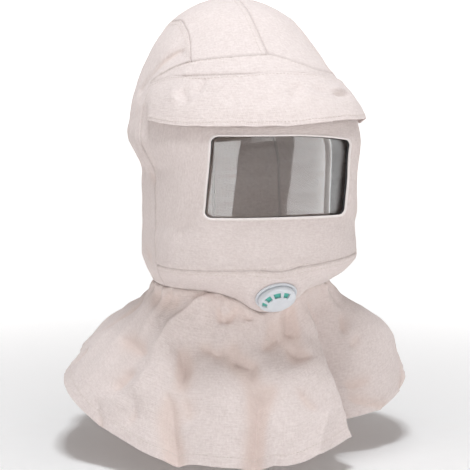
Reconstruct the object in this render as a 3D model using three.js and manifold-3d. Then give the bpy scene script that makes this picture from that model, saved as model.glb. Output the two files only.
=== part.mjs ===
// Sandblasting hood: canvas panels over the head, a clear window, an exhalation valve and a shoulder cape.
// Millimetres, +Z up, front towards -Y, origin at the inside of the crown where the hood sits on a head.
import * as THREE from 'three';
import { mergeVertices } from 'three/addons/utils/BufferGeometryUtils.js';
import Module from 'manifold-3d';

const wasm = await Module();
wasm.setup();

// Cloth
const clothWall = 1.8;
const flapWall = 3.2;
const seamGap = 0.3;

// Hood
const hoodHeight = 296;
const hoodHalfWidth = 112;
const frontReach = 162;
const backReach = 89;
const neckDip = 22;
const neckDipSpread = 24;
const sideSeamAngle = 76;
const sideSwing = 5;
const swingEnd = 1.8;
const swingSpan = 0.5;
const flapLift = 4.5;
const flapFlare = 8;
const flareColumn = 1.2;
const flapLeftTop = 1.93;
const flapLeftHem = 1.77;

// Cape
const capeDrop = 166;
const capeReach = 200;
const creaseStart = 0.1;
const capeColumns = 100;
const capeRows = 10;

// Window
const windowWidth = 146;
const windowHeight = 82;
const windowTop = 137;
const windowSlope = 6;
const windowLean = 4.5;
const windowCorner = 8;
const bindingWidth = 2.6;
const bindingProud = 0.9;
const sealShow = 1.2;
const sealWall = 1.5;
const sheetGap = 0.6;
const visorOverlap = 8;
const visorWall = 1;

// Valve
const flangeDiameter = 42;
const flangeWall = 2.4;
const flangeEdge = 1;
const throatDiameter = 28;
const throatWall = 1.6;
const throatDepth = 6;
const capDiameter = 37;
const capHeight = 10;
const capWall = 1.8;
const capFace = 21;
const capFlank = 5;
const slotRadius = 14.1;
const slotWidth = 4.4;
const slotArc = 27;
const slotPitch = 40;
const slotCount = 4;
const slotTurn = 38;
const valveLevel = 2.9;
const valveTilt = 47;
const fitGap = 0.3;
const cutMargin = 1;
const flatMargin = 3;
const flatBlend = 16;

const degrees = Math.PI / 180;

// A table's rows as objects with its columns' names.
const table = (columns, ...rows) => rows.map(
  (row) => Object.fromEntries(columns.map((column, i) => [column, row[i]])),
);

// Sections of the hood from the crown down. Heights are shares of hoodHeight, widths of hoodHalfWidth,
// front and widest of frontReach, back of backReach. The powers square the section up.
const sections = table(
  ['level', 'drop', 'width', 'front', 'back', 'widest', 'frontPower', 'backPower'],
  [0.00, 0.000, 0.000, -0.074, 0.135, -0.074, 2.00, 2.0],
  [0.25, 0.020, 0.266, 0.086, 0.410, -0.074, 2.00, 2.0],
  [0.50, 0.060, 0.476, 0.259, 0.650, -0.074, 2.05, 2.1],
  [0.75, 0.127, 0.656, 0.426, 0.830, -0.068, 2.05, 2.2],
  [1.00, 0.206, 0.785, 0.611, 0.945, -0.056, 2.10, 2.2],
  [1.30, 0.311, 0.908, 0.840, 0.985, -0.025, 2.25, 2.3],
  [1.60, 0.419, 0.986, 0.975, 0.978, 0.012, 2.45, 2.3],
  [1.80, 0.497, 1.006, 1.000, 0.925, 0.062, 2.55, 2.3],
  [2.00, 0.608, 0.930, 0.975, 0.850, 0.173, 2.80, 2.3],
  [2.40, 0.767, 0.938, 0.926, 0.820, 0.204, 2.80, 2.3],
  [2.70, 0.892, 0.942, 0.901, 0.815, 0.204, 2.70, 2.3],
  [2.85, 0.942, 0.902, 0.827, 0.780, 0.185, 2.50, 2.2],
  [3.00, 1.000, 0.813, 0.605, 0.697, 0.123, 2.20, 2.1],
);
const neckLevel = 3;
const chinLevel = 2.7;
const dipPower = 1.3;

// Levels at which the front seams, the flap's top edge and its hem cross each angle from the front.
const frontSeams = table(
  ['angle', 'crown', 'brow', 'flap', 'hem', 'chin'],
  [-72, 1.28, 1.330, 1.34, 1.640, 2.775],
  [-60, 1.19, 1.270, 1.28, 1.645, 2.775],
  [-49, 1.12, 1.235, 1.24, 1.665, 2.775],
  [-35, 1.07, 1.215, 1.25, 1.685, 2.765],
  [-18, 1.04, 1.205, 1.24, 1.684, 2.750],
  [0, 1.02, 1.200, 1.21, 1.680, 2.740],
  [14, 1.10, 1.206, 1.22, 1.650, 2.725],
  [24, 1.16, 1.226, 1.24, 1.640, 2.710],
  [43, 1.20, 1.266, 1.28, 1.640, 2.680],
  [72, 1.28, 1.340, 1.35, 1.680, 2.660],
);

// The crown seam runs from the brow over the head and down the back, mirrored on the other side.
const crownSeam = table(
  ['along', 'angle', 'level'],
  [0.00, 41, 1.09],
  [0.08, 47, 0.89],
  [0.16, 57, 0.73],
  [0.26, 75, 0.62],
  [0.36, 96, 0.62],
  [0.47, 118, 0.76],
  [0.58, 132, 1.05],
  [0.70, 138, 1.50],
  [0.85, 140, 2.25],
  [1.00, 140, 3.00],
);

// Dents and folds of the hood. A fold runs between two places given as angle and level. Its depth is a share
// of hoodHalfWidth, inward when negative, and so is its width.
const hoodFolds = table(
  ['angle', 'level', 'toAngle', 'toLevel', 'depth', 'width'],
  [-86, 1.36, -52, 1.01, -0.030, 0.050],
  [-80, 1.55, -84, 1.90, 0.030, 0.110],
  [-66, 1.58, -70, 1.95, -0.026, 0.070],
  [-72, 2.42, -44, 2.42, -0.016, 0.070],
  [70, 1.75, 76, 2.30, -0.024, 0.080],
  [118, 2.30, 162, 2.20, -0.030, 0.100],
  [-124, 2.40, -160, 2.24, -0.028, 0.100],
  [150, 2.70, -150, 2.72, -0.024, 0.080],
);

// Folds of the cape by angle: three rings below the neck seam, each with its reach as a share of capeReach
// and its drop below the neck seam as a share of capeDrop.
const capeFolds = table(
  ['angle', 'topReach', 'topDrop', 'midReach', 'midDrop', 'hemReach', 'hemDrop'],
  [-180, 0.500, 0.096, 0.710, 0.398, 0.840, 0.819],
  [-156, 0.530, 0.096, 0.800, 0.325, 0.950, 0.687],
  [-140, 0.550, 0.108, 0.830, 0.337, 0.990, 0.530],
  [-126, 0.510, 0.125, 0.770, 0.386, 0.915, 0.608],
  [-108, 0.510, 0.155, 0.765, 0.415, 0.910, 0.614],
  [-90, 0.530, 0.193, 0.745, 0.470, 0.910, 0.675],
  [-76, 0.540, 0.241, 0.725, 0.566, 0.855, 0.795],
  [-62, 0.540, 0.277, 0.690, 0.627, 0.800, 0.892],
  [-50, 0.540, 0.313, 0.670, 0.639, 0.775, 0.960],
  [-34, 0.530, 0.325, 0.650, 0.651, 0.735, 0.995],
  [-20, 0.530, 0.325, 0.670, 0.651, 0.760, 1.000],
  [-12, 0.530, 0.325, 0.660, 0.651, 0.745, 1.000],
  [-4, 0.530, 0.325, 0.680, 0.651, 0.785, 0.996],
  [6, 0.530, 0.313, 0.690, 0.639, 0.800, 0.975],
  [20, 0.540, 0.265, 0.675, 0.578, 0.780, 0.925],
  [29, 0.530, 0.229, 0.665, 0.536, 0.785, 0.885],
  [36, 0.450, 0.190, 0.540, 0.520, 0.640, 0.880],
  [44, 0.440, 0.165, 0.480, 0.490, 0.600, 0.870],
  [62, 0.530, 0.145, 0.700, 0.430, 0.790, 0.810],
  [82, 0.600, 0.140, 0.840, 0.340, 0.955, 0.655],
  [110, 0.580, 0.115, 0.860, 0.310, 1.000, 0.552],
  [140, 0.540, 0.085, 0.770, 0.345, 0.920, 0.687],
  [180, 0.500, 0.096, 0.710, 0.398, 0.840, 0.819],
);

// Creases of the cape between two places, each an angle and a share of the way from the neck seam to the hem.
// Depth and width are shares of capeReach. A crease is pressed in where its depth is negative.
const capeCreases = table(
  ['angle', 'share', 'toAngle', 'toShare', 'depth', 'width'],
  [-42, 0.06, -57, 0.52, 0.032, 0.070],
  [-84, 0.10, -48, 0.14, -0.024, 0.070],
  [-46, 0.34, -44, 0.56, -0.024, 0.060],
  [-76, 0.88, -54, 0.66, 0.022, 0.070],
  [-52, 0.68, -42, 1.00, -0.022, 0.060],
  [-21, 0.38, -8, 0.62, -0.018, 0.060],
  [-8, 0.62, -12, 1.00, -0.024, 0.060],
  [16, 0.12, 13, 0.44, -0.024, 0.060],
);

const mix = (a, b, t) => a + (b - a) * t;
const clamp = (x, low = 0, high = 1) => Math.min(Math.max(x, low), high);
const smooth = (t) => t * t * (3 - 2 * t);
const steps = (count) => Array.from({ length: count + 1 }, (_, i) => i / count);

// A smooth curve through a table's column that never overshoots its rows.
function curve(rows, key, column, x, flatStart = false) {
  const last = rows.length - 1;
  const slope = (i) => (rows[i + 1][column] - rows[i][column]) / (rows[i + 1][key] - rows[i][key]);
  const tangent = (i) => {
    if (i === 0) return flatStart ? 0 : slope(0);
    if (i === last) return slope(last - 1);
    const before = slope(i - 1);
    const after = slope(i);
    if (before * after <= 0) return 0;
    const h0 = rows[i][key] - rows[i - 1][key];
    const h1 = rows[i + 1][key] - rows[i][key];
    const w0 = 2 * h1 + h0;
    const w1 = h1 + 2 * h0;
    return (w0 + w1) / (w0 / before + w1 / after);
  };
  let i = 0;
  while (i < last - 1 && x >= rows[i + 1][key]) i += 1;
  const h = rows[i + 1][key] - rows[i][key];
  const t = clamp((x - rows[i][key]) / h);
  const t2 = t * t;
  const t3 = t2 * t;
  return (2 * t3 - 3 * t2 + 1) * rows[i][column] + (t3 - 2 * t2 + t) * h * tangent(i)
    + (3 * t2 - 2 * t3) * rows[i + 1][column] + (t3 - t2) * h * tangent(i + 1);
}

function section(level) {
  const value = (column) => curve(sections, 'level', column, level);
  return {
    z: clothWall - hoodHeight * curve(sections, 'level', 'drop', level, true),
    width: hoodHalfWidth * value('width'),
    front: -frontReach * value('front'),
    back: backReach * value('back'),
    widest: -frontReach * value('widest'),
    frontPower: value('frontPower'),
    backPower: value('backPower'),
  };
}

const wrap = (angle) => ((angle + 540) % 360) - 180;

// A place on the plain hood, before folds and the valve's flat. The angle is in degrees from the front.
function plainHood(angle, level) {
  const s = section(level);
  const across = Math.sin(angle * degrees);
  const along = Math.cos(angle * degrees);
  const power = along >= 0 ? s.frontPower : s.backPower;
  const half = along >= 0 ? s.widest - s.front : s.back - s.widest;
  const radius = level <= 0 ? 0
    : (Math.abs(across / s.width) ** power + Math.abs(along / half) ** power) ** (-1 / power);
  const dip = neckDip * Math.exp(-((wrap(angle) / neckDipSpread) ** 2))
    * clamp((level - chinLevel) / (neckLevel - chinLevel)) ** dipPower;
  return new THREE.Vector3(radius * across, s.widest - radius * along, s.z - dip);
}

// The angle at which a section is x millimetres off the middle, in front.
function angleAcross(x, level) {
  const s = section(level);
  const inside = Math.max(1 - Math.abs(x / s.width) ** s.frontPower, 0);
  return Math.atan2(x, (s.widest - s.front) * inside ** (1 / s.frontPower)) / degrees;
}

function levelAt(z) {
  let low = 0;
  let high = neckLevel;
  for (let i = 0; i < 30; i += 1) {
    const middle = (low + high) / 2;
    if (section(middle).z > z) low = middle;
    else high = middle;
  }
  return low;
}

// The valve's frame: its place on the chin and the way that it faces.
const valveCentre = plainHood(0, valveLevel);
const valveAxis = new THREE.Vector3(0, -Math.cos(valveTilt * degrees), -Math.sin(valveTilt * degrees));

function foldOffset(point, fold) {
  const from = plainHood(fold.angle, fold.level);
  const to = plainHood(fold.toAngle, fold.toLevel);
  const line = new THREE.Line3(from, to);
  const nearest = line.closestPointToPoint(point, true, new THREE.Vector3());
  const share = nearest.distanceTo(point) / (fold.width * hoodHalfWidth);
  return fold.depth * hoodHalfWidth * Math.exp(-share * share);
}

// The outer face of the hood with its folds, pressed flat under the valve.
function hoodPoint(angle, level) {
  const point = plainHood(angle, level);
  const edge = smooth(clamp((neckLevel - level) / (neckLevel - chinLevel)));
  const outward = new THREE.Vector3(Math.sin(angle * degrees), -Math.cos(angle * degrees), 0);
  const offset = hoodFolds.reduce((sum, fold) => sum + foldOffset(point, fold), 0);
  point.addScaledVector(outward, offset * edge);
  const away = point.clone().sub(valveCentre);
  const flat = 1 - smooth(clamp((away.length() - flangeDiameter / 2 - flatMargin) / flatBlend));
  return point.addScaledVector(valveAxis, -away.dot(valveAxis) * flat);
}

// Flat coordinates of the hood with the crown at 0, so that a small step in them is never undefined.
const chart = ([angle, level]) => [level * Math.sin(angle * degrees), -level * Math.cos(angle * degrees)];
const unchart = ([a, b]) => [Math.atan2(a, -b) / degrees, Math.hypot(a, b)];

function hoodFace(place, lift = 0) {
  const [a, b] = chart(place);
  const at = (x, y) => hoodPoint(...unchart([x, y]));
  const step = 0.01;
  const normal = new THREE.Vector3().crossVectors(
    at(a + step, b).sub(at(a - step, b)),
    at(a, b + step).sub(at(a, b - step)),
  ).normalize();
  return { point: hoodPoint(...place).addScaledVector(normal, lift), normal };
}

// The cape hangs from the neck seam through three rings. Its creases come after.
function plainCape(angle, share) {
  const value = (column) => curve(capeFolds, 'angle', column, wrap(angle));
  const across = Math.sin(angle * degrees);
  const along = Math.cos(angle * degrees);
  const neck = clothWall - hoodHeight;
  const ring = (reach, drop) => new THREE.Vector3(
    capeReach * reach * across,
    -capeReach * reach * along,
    neck - capeDrop * drop,
  );
  const path = [
    hoodPoint(angle, neckLevel),
    ring(value('topReach'), value('topDrop')),
    ring(value('midReach'), value('midDrop')),
    ring(value('hemReach'), value('hemDrop')),
  ];
  return new THREE.CatmullRomCurve3(path, false, 'catmullrom').getPoint(share);
}

const creaseLines = capeCreases.map((crease) => ({
  line: new THREE.Line3(plainCape(crease.angle, crease.share), plainCape(crease.toAngle, crease.toShare)),
  depth: crease.depth * capeReach,
  width: crease.width * capeReach,
}));

function capePoint(angle, share) {
  const point = plainCape(angle, share);
  const outward = new THREE.Vector3(Math.sin(angle * degrees), -Math.cos(angle * degrees), 1).normalize();
  const offset = creaseLines.reduce((sum, { line, depth, width }) => {
    const nearest = line.closestPointToPoint(point, true, new THREE.Vector3());
    return sum + depth * Math.exp(-((nearest.distanceTo(point) / width) ** 2));
  }, 0);
  return point.addScaledVector(outward, offset * smooth(clamp(share / creaseStart)));
}

function capeFace(angle, share) {
  const step = 0.5;
  const slip = 0.01;
  const low = Math.max(share - slip, 0);
  const high = Math.min(share + slip, 1);
  const normal = new THREE.Vector3().crossVectors(
    capePoint(angle, high).sub(capePoint(angle, low)),
    capePoint(angle + step, share).sub(capePoint(angle - step, share)),
  ).normalize();
  return { point: capePoint(angle, share), normal };
}

// Pulls one edge of a grid of places back from its seam.
function pullBack(grid, edge, gap) {
  const rows = grid.length;
  const columns = grid[0].length;
  const pairs = {
    first: grid[0].map((_, j) => [grid[0][j], grid[1][j]]),
    last: grid[0].map((_, j) => [grid[rows - 1][j], grid[rows - 2][j]]),
    left: grid.map((row) => [row[0], row[1]]),
    right: grid.map((row) => [row[columns - 1], row[columns - 2]]),
  };
  for (const [moved, next] of pairs[edge]) {
    const way = next.point.clone().sub(moved.point).setLength(gap);
    moved.point.add(way);
  }
}

// A closed sheet from a grid of places on its outer face. Cells that keep() refuses are left open.
function sheet(grid, wall, { keep = () => true, loop = false } = {}) {
  const rows = grid.length;
  const columns = grid[0].length;
  const inner = rows * columns;
  const positions = [];
  for (const side of [0, -wall]) {
    for (const row of grid) {
      for (const { point, normal } of row) {
        positions.push(...point.clone().addScaledVector(normal, side).toArray());
      }
    }
  }
  const at = (i, j) => i * columns + (j % columns);
  const cells = loop ? columns : columns - 1;
  const open = (i, j) => {
    if (i < 0 || i >= rows - 1) return true;
    if (!loop && (j < 0 || j >= cells)) return true;
    return !keep(i, (j + cells) % cells);
  };
  const index = [];
  const quad = (a, b, c, d) => index.push(a, b, c, a, c, d);
  for (let i = 0; i < rows - 1; i += 1) {
    for (let j = 0; j < cells; j += 1) {
      if (open(i, j)) continue;
      const [a, b, c, d] = [at(i, j), at(i + 1, j), at(i + 1, j + 1), at(i, j + 1)];
      quad(a, b, c, d);
      quad(inner + a, inner + d, inner + c, inner + b);
      if (open(i - 1, j)) quad(a, d, inner + d, inner + a);
      if (open(i + 1, j)) quad(c, b, inner + b, inner + c);
      if (open(i, j - 1)) quad(b, a, inner + a, inner + b);
      if (open(i, j + 1)) quad(d, c, inner + c, inner + d);
    }
  }
  const geometry = new THREE.BufferGeometry();
  geometry.setAttribute('position', new THREE.Float32BufferAttribute(positions, 3));
  geometry.setIndex(index);
  return geometry;
}

// A sheet of cloth with a seam along each edge
function sewnSheet(grid, options) {
  for (const edge of ['first', 'last', 'left', 'right']) pullBack(grid, edge, seamGap / 2);
  return sheet(grid, clothWall, options);
}

const materials = {
  canvas: new THREE.MeshStandardMaterial({ color: 0xe3d4d0, roughness: 0.92, metalness: 0 }),
  visor: new THREE.MeshStandardMaterial({
    color: 0xdfe4ea, roughness: 0.08, metalness: 0, transparent: true, opacity: 0.3,
  }),
  seal: new THREE.MeshStandardMaterial({ color: 0x2b2a2c, roughness: 0.6, metalness: 0 }),
  plastic: new THREE.MeshStandardMaterial({ color: 0xe6ebee, roughness: 0.35, metalness: 0 }),
  disc: new THREE.MeshStandardMaterial({ color: 0x46aa96, roughness: 0.5, metalness: 0 }),
};

const hood = new THREE.Group();

function add(name, geometry, material) {
  geometry.computeVertexNormals();
  const mesh = new THREE.Mesh(geometry, materials[material]);
  mesh.name = name;
  hood.add(mesh);
}

const seamsEnd = frontSeams.at(-1).angle;
const seams = (angle, column) => curve(frontSeams, 'angle', column, clamp(angle, -seamsEnd, seamsEnd));

// Columns of the front: -1 and 1 are the window's upright edges, -2 and 2 the seams to the side panels.
function frontAngle(column, level) {
  if (Math.abs(column) <= 1) return windowAngle(column, level);
  const side = Math.sign(column);
  return mix(windowAngle(side, level), side * sideAngle(level), Math.abs(column) - 1);
}

// The window's columns lean a little to the left on the way down.
function windowAngle(column, level) {
  const share = clamp((-windowTop - section(level).z) / windowHeight);
  return angleAcross(column * windowWidth / 2 - windowLean * share, level);
}

// The seam to the side panel swings back a little between the brow and the window.
function sideAngle(level) {
  return sideSeamAngle - sideSwing * smooth(clamp((swingEnd - level) / swingSpan));
}

// The level at which a front column meets a seam
function seamLevel(column, name) {
  let level = 1.5;
  for (let i = 0; i < 6; i += 1) level = seams(frontAngle(column, level), name);
  return level;
}

// A place on the window, from its left to its right edge (-1 to 1) and its top to its bottom edge (0 to 1)
function windowPlace(column, share) {
  const top = -windowTop - windowSlope * clamp(column) ** 2;
  const level = levelAt(mix(top, -windowTop - windowHeight, share));
  return [windowAngle(column, level), level];
}

// A place on a front column, part of the way from one level to another
function columnPlace(column, from, to, t) {
  const level = mix(from, to, t);
  return [frontAngle(column, level), level];
}

const blend = (from, to, t) => [mix(from[0], to[0], t), mix(from[1], to[1], t)];

// Stations across and down the window, with one at each end of the corners' rounding.
const cornerColumn = 1 - windowCorner / (windowWidth / 2);
const cornerShare = windowCorner / windowHeight;
const marginColumn = 1 + visorOverlap / (windowWidth / 2);
const marginShare = visorOverlap / windowHeight;
const windowColumns = [-1, ...steps(10).map((t) => mix(-cornerColumn, cornerColumn, t)), 1];
const windowShares = [0, ...steps(3).map((t) => mix(cornerShare, 1 - cornerShare, t)), 1];

// Shifts the four corners of the window opening so that they are cut round.
function roundCorner(place, column, share) {
  if (Math.abs(column) !== 1 || (share !== 0 && share !== 1)) return place;
  const cut = windowCorner * (1 - Math.SQRT1_2);
  const [across, down] = [cut / (windowWidth / 2), cut / windowHeight];
  return windowPlace(column * (1 - across), mix(down, 1 - down, share));
}

// Rows of the front panels, each a level for every column. Rows across the window also have its share.
const marginLevel = (column, share) => windowPlace(clamp(column, -1, 1), share)[1];
const towards = (share, seam) => (t) => ({
  level: (column) => mix(marginLevel(column, share), seamLevel(column, seam), t),
});
const faceRows = [
  ...steps(3).slice(1).reverse().map(towards(-marginShare, 'brow')),
  ...[-marginShare, ...windowShares, 1 + marginShare].map((share) => ({
    share,
    level: (column) => marginLevel(column, share),
  })),
  ...steps(3).slice(1).map(towards(1 + marginShare, 'chin')),
];
const chinRows = steps(6).map((t) => ({
  level: (column) => mix(seamLevel(column, 'chin'), neckLevel, t),
}));

// Levels of all the rows where they meet a side seam, from the end of the brow down to the neck
function sideLevels(side) {
  const levels = [...faceRows, ...chinRows.slice(1)].map((row) => row.level(2 * side));
  return [seamLevel(2 * side, 'crown'), ...levels];
}

// Stations along the crown seam, shared by the panels on both sides of it. Those on the brow come first, the
// first two close together so that the side panel reaches into its corner.
const browShares = [0, 0.03, 0.22, 0.41, 0.61, 0.8, 1];
const browEnd = browShares.length - 1;
const browReach = 0.23;
const seamStart = 0.1;
const crownStations = [
  ...browShares.map((share) => browReach * share),
  ...steps(sideLevels(1).length - 1).slice(1).map((t) => mix(browReach, 1, t)),
];
const crownColumns = steps(5);

// A place on the crown seam. It starts on the brow seam.
function crownSeamPlace(side, along) {
  const angle = curve(crownSeam, 'along', 'angle', along);
  const level = curve(crownSeam, 'along', 'level', along);
  const start = seams(side * crownSeam[0].angle, 'crown') - crownSeam[0].level;
  return [side * angle, level + start * clamp(1 - along / seamStart)];
}

// Where the crown panels' columns meet the brow seam, from the centre seam outwards
function crownFront(side, t) {
  return unchart(blend([0, -seams(0, 'crown')], chart(crownSeamPlace(side, 0)), t));
}

// A crown panel, from the centre seam to the crown seam
function crownPanel(side) {
  const frontSeam = chart(crownSeamPlace(side, 0));
  const backSeam = chart(crownSeamPlace(side, 1));
  const rows = crownStations.map((along) => {
    const seam = chart(crownSeamPlace(side, along));
    const middle = seam[1] * (seam[1] < 0 ? -seams(0, 'crown') / frontSeam[1] : neckLevel / backSeam[1]);
    const ahead = smooth(clamp(1 - along / seamStart));
    const behind = smooth(clamp((along - 0.5) / 0.5));
    return crownColumns.map((t) => {
      const [angle, reach] = unchart(blend([0, middle], seam, t));
      const [brow, straight] = crownFront(side, t);
      const rounded = mix(Math.abs(middle), Math.hypot(...seam), t);
      return hoodFace([angle, mix(reach, rounded, behind) * mix(1, seams(brow, 'crown') / straight, ahead)]);
    });
  });
  const grid = side < 0 ? rows : rows.map((row) => row.reverse());
  return sewnSheet(grid);
}

// The front edge of a side panel, at a station of the crown seam
function sideFront(side, station) {
  const levels = sideLevels(side);
  if (station >= browEnd) {
    const level = levels[station - browEnd];
    return [side * sideAngle(level), level];
  }
  const angle = mix(crownSeam[0].angle, sideAngle(levels[0]), browShares[station]);
  return [side * angle, seams(side * angle, 'crown')];
}

// A side panel, from the face and the brow back to the crown seam
function sidePanel(side) {
  const rows = crownStations.slice(1).map((along, k) => {
    const front = sideFront(side, k + 1);
    return steps(7).map((u) => hoodFace(blend(front, crownSeamPlace(side, along), u)));
  });
  const grid = side > 0 ? rows : rows.map((row) => row.reverse());
  return sewnSheet(grid);
}

// Front panels
const outerColumns = steps(4).slice(1).map((t) => mix(marginColumn, 2, t));
const frontColumns = [
  ...outerColumns.map((c) => -c).reverse(), -marginColumn, ...windowColumns, marginColumn, ...outerColumns,
];

function browPanel() {
  const half = (side) => [
    ...crownColumns.map((t) => crownFront(side, t)[0]),
    ...browShares.slice(1).map((share, k) => sideFront(side, k + 1)[0]),
  ];
  const crown = [...half(-1).slice(1).reverse(), ...half(1)].map((angle) => [angle, seams(angle, 'crown')]);
  const brow = frontColumns.map((column) => {
    const level = seamLevel(column, 'brow');
    return [frontAngle(column, level), level];
  });
  const grid = steps(2).map((t) => crown.map((place, j) => hoodFace(blend(place, brow[j], t))));
  return sewnSheet(grid);
}

function facePanel() {
  const grid = faceRows.map(({ level, share }) => frontColumns.map((column) => {
    const place = [frontAngle(column, level(column)), level(column)];
    return hoodFace(roundCorner(place, column, share));
  }));
  const topRow = faceRows.findIndex((row) => row.share === 0);
  const leftColumn = frontColumns.indexOf(-1);
  const keep = (i, j) => i < topRow || i >= topRow + windowShares.length - 1
    || j < leftColumn || j >= leftColumn + windowColumns.length - 1;
  return sewnSheet(grid, { keep });
}

function chinPanel() {
  const grid = chinRows.map(({ level }) => frontColumns.map((column) => {
    return hoodFace([frontAngle(column, level(column)), level(column)]);
  }));
  return sewnSheet(grid);
}

// The flap stops short of the left side seam, and further from it at its hem.
function flapColumn(column, t) {
  const end = mix(flapLeftTop, flapLeftHem, t);
  return column < -1 ? -1 + (column + 1) * (end - 1) : column;
}

function browFlap() {
  const grid = steps(6).map((t) => frontColumns.map((frontColumn) => {
    const column = flapColumn(frontColumn, t);
    const place = columnPlace(column, seamLevel(column, 'flap'), seamLevel(column, 'hem'), t);
    const flare = flapFlare * smooth(clamp((column - flareColumn) / (2 - flareColumn)));
    return hoodFace(place, fitGap + flapWall + (flapLift + flare) * Math.sin(t * Math.PI / 2));
  }));
  return sheet(grid, flapWall);
}

function cape() {
  const around = steps(capeColumns).slice(0, -1).map((t) => 360 * t - 180);
  const grid = steps(capeRows).map((share) => around.map((angle) => capeFace(angle, share)));
  pullBack(grid, 'first', seamGap);
  return sheet(grid, clothWall, { loop: true });
}

// One turn round the window, grown past the opening or drawn inside it, with its corners cut round
function windowTurn(grow, lift) {
  const [column, share] = [1 + grow / (windowWidth / 2), -grow / windowHeight];
  const cut = (windowCorner + grow) * (1 - Math.SQRT1_2);
  const insideColumns = windowColumns.slice(1, -1);
  const insideShares = windowShares.slice(1, -1);
  const corner = (across, down) => [
    across * (column - cut / (windowWidth / 2)),
    mix(share + cut / windowHeight, 1 - share - cut / windowHeight, down),
  ];
  const places = [
    corner(-1, 0), ...insideColumns.map((c) => [c, share]),
    corner(1, 0), ...insideShares.map((s) => [column, s]),
    corner(1, 1), ...insideColumns.map((c) => [-c, 1 - share]),
    corner(-1, 1), ...insideShares.map((s) => [-column, 1 - s]),
  ];
  return places.map((place) => hoodFace(windowPlace(...place), lift));
}

// A flat ring round the window. Its outer face is lifted off the cloth's outer face.
function windowRing({ grow, rim, lift, wall }) {
  return sheet([windowTurn(grow, lift), windowTurn(grow - rim, lift)], wall, { loop: true });
}

function visor() {
  const columns = [-marginColumn, ...windowColumns, marginColumn];
  const shares = [-marginShare, ...windowShares, 1 + marginShare];
  const lift = -clothWall - sealWall - 2 * sheetGap;
  const grid = shares.map((share) => columns.map((column) => hoodFace(windowPlace(column, share), lift)));
  return sheet(grid, visorWall);
}

// Booleans
function toSolid(geometry) {
  const bare = new THREE.BufferGeometry();
  bare.setAttribute('position', geometry.getAttribute('position'));
  bare.setIndex(geometry.index);
  const merged = mergeVertices(bare);
  return new wasm.Manifold(new wasm.Mesh({
    numProp: 3,
    vertProperties: new Float32Array(merged.getAttribute('position').array),
    triVerts: new Uint32Array(merged.index.array),
  }));
}

function fromSolid(solid) {
  const { vertProperties, triVerts } = solid.getMesh();
  const geometry = new THREE.BufferGeometry();
  geometry.setAttribute('position', new THREE.Float32BufferAttribute(vertProperties, 3));
  geometry.setIndex(Array.from(triVerts));
  return geometry;
}

// A turned solid about the valve's axis, from radius and height pairs above the cloth's outer face
function turned(profile) {
  const geometry = new THREE.LatheGeometry(profile.map(([r, h]) => new THREE.Vector2(r, h)), ringSides);
  geometry.applyQuaternion(new THREE.Quaternion().setFromUnitVectors(new THREE.Vector3(0, 1, 0), valveAxis));
  geometry.translate(...valveCentre.toArray());
  return geometry;
}

const ringSides = 24;
const flangeRadius = flangeDiameter / 2;
const throatRadius = throatDiameter / 2;
const capRadius = capDiameter / 2;
const capBottom = fitGap + flangeWall + fitGap;
const capTop = capBottom + capHeight;

function valveBase() {
  const bore = throatRadius - throatWall;
  const low = -clothWall - throatDepth;
  const seat = fitGap;
  const top = fitGap + flangeWall;
  return turned([
    [bore, low], [throatRadius, low], [throatRadius, seat], [flangeRadius, seat],
    [flangeRadius, top - flangeEdge], [flangeRadius - flangeEdge, top], [bore, top], [bore, low],
  ]);
}

// The cap's slanted flank, moved inwards by a wall: its height at a radius and where it meets the flat face.
const flankSlope = Math.atan(capFlank / (capRadius - capFace / 2));
const flankHeight = (radius, wall) => (
  capTop - (radius - capFace / 2) * Math.tan(flankSlope) - wall / Math.cos(flankSlope)
);
const faceRadius = (wall) => capFace / 2 - wall * Math.tan(flankSlope / 2);

function valveDisc() {
  const radius = slotRadius + slotWidth / 2;
  const under = capWall + fitGap;
  return turned([
    [0, capBottom], [radius, capBottom], [radius, flankHeight(radius, under)],
    [faceRadius(under), capTop - under], [0, capTop - under],
  ]);
}

function valveCap() {
  const inside = capRadius - capWall;
  const body = turned([
    [inside, capBottom], [capRadius, capBottom], [capRadius, flankHeight(capRadius, 0)], [capFace / 2, capTop],
    [0, capTop], [0, capTop - capWall], [faceRadius(capWall), capTop - capWall],
    [inside, flankHeight(inside, capWall)], [inside, capBottom],
  ]);
  const inner = slotRadius - slotWidth / 2;
  const outer = slotRadius + slotWidth / 2;
  let solid = toSolid(body);
  for (let k = 0; k < slotCount; k += 1) {
    const middle = (k - (slotCount - 1) / 2) * slotPitch + 90 + slotTurn;
    const from = (middle - slotArc / 2) * degrees;
    const to = (middle + slotArc / 2) * degrees;
    const shape = new THREE.Shape();
    shape.absarc(0, 0, outer, from, to, false);
    shape.absarc(0, 0, inner, to, from, true);
    const slot = new THREE.ExtrudeGeometry(shape, {
      depth: capFlank + 2 * capWall + cutMargin, bevelEnabled: false, curveSegments: 3,
    });
    slot.translate(0, 0, capTop - capFlank - 2 * capWall);
    const turn = new THREE.Matrix4().makeBasis(
      new THREE.Vector3(1, 0, 0),
      new THREE.Vector3().crossVectors(valveAxis, new THREE.Vector3(1, 0, 0)),
      valveAxis,
    );
    slot.applyMatrix4(turn);
    slot.translate(...valveCentre.toArray());
    slot.deleteAttribute('normal');
    slot.deleteAttribute('uv');
    solid = solid.subtract(toSolid(mergeVertices(slot)));
  }
  return fromSolid(solid);
}

// The chin panel's hole for the valve's throat
function piercedChin() {
  const radius = throatRadius + fitGap;
  const reach = clothWall + cutMargin;
  const drill = turned([[0, -reach], [radius, -reach], [radius, cutMargin], [0, cutMargin]]);
  return fromSolid(toSolid(chinPanel()).subtract(toSolid(drill)));
}

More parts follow.
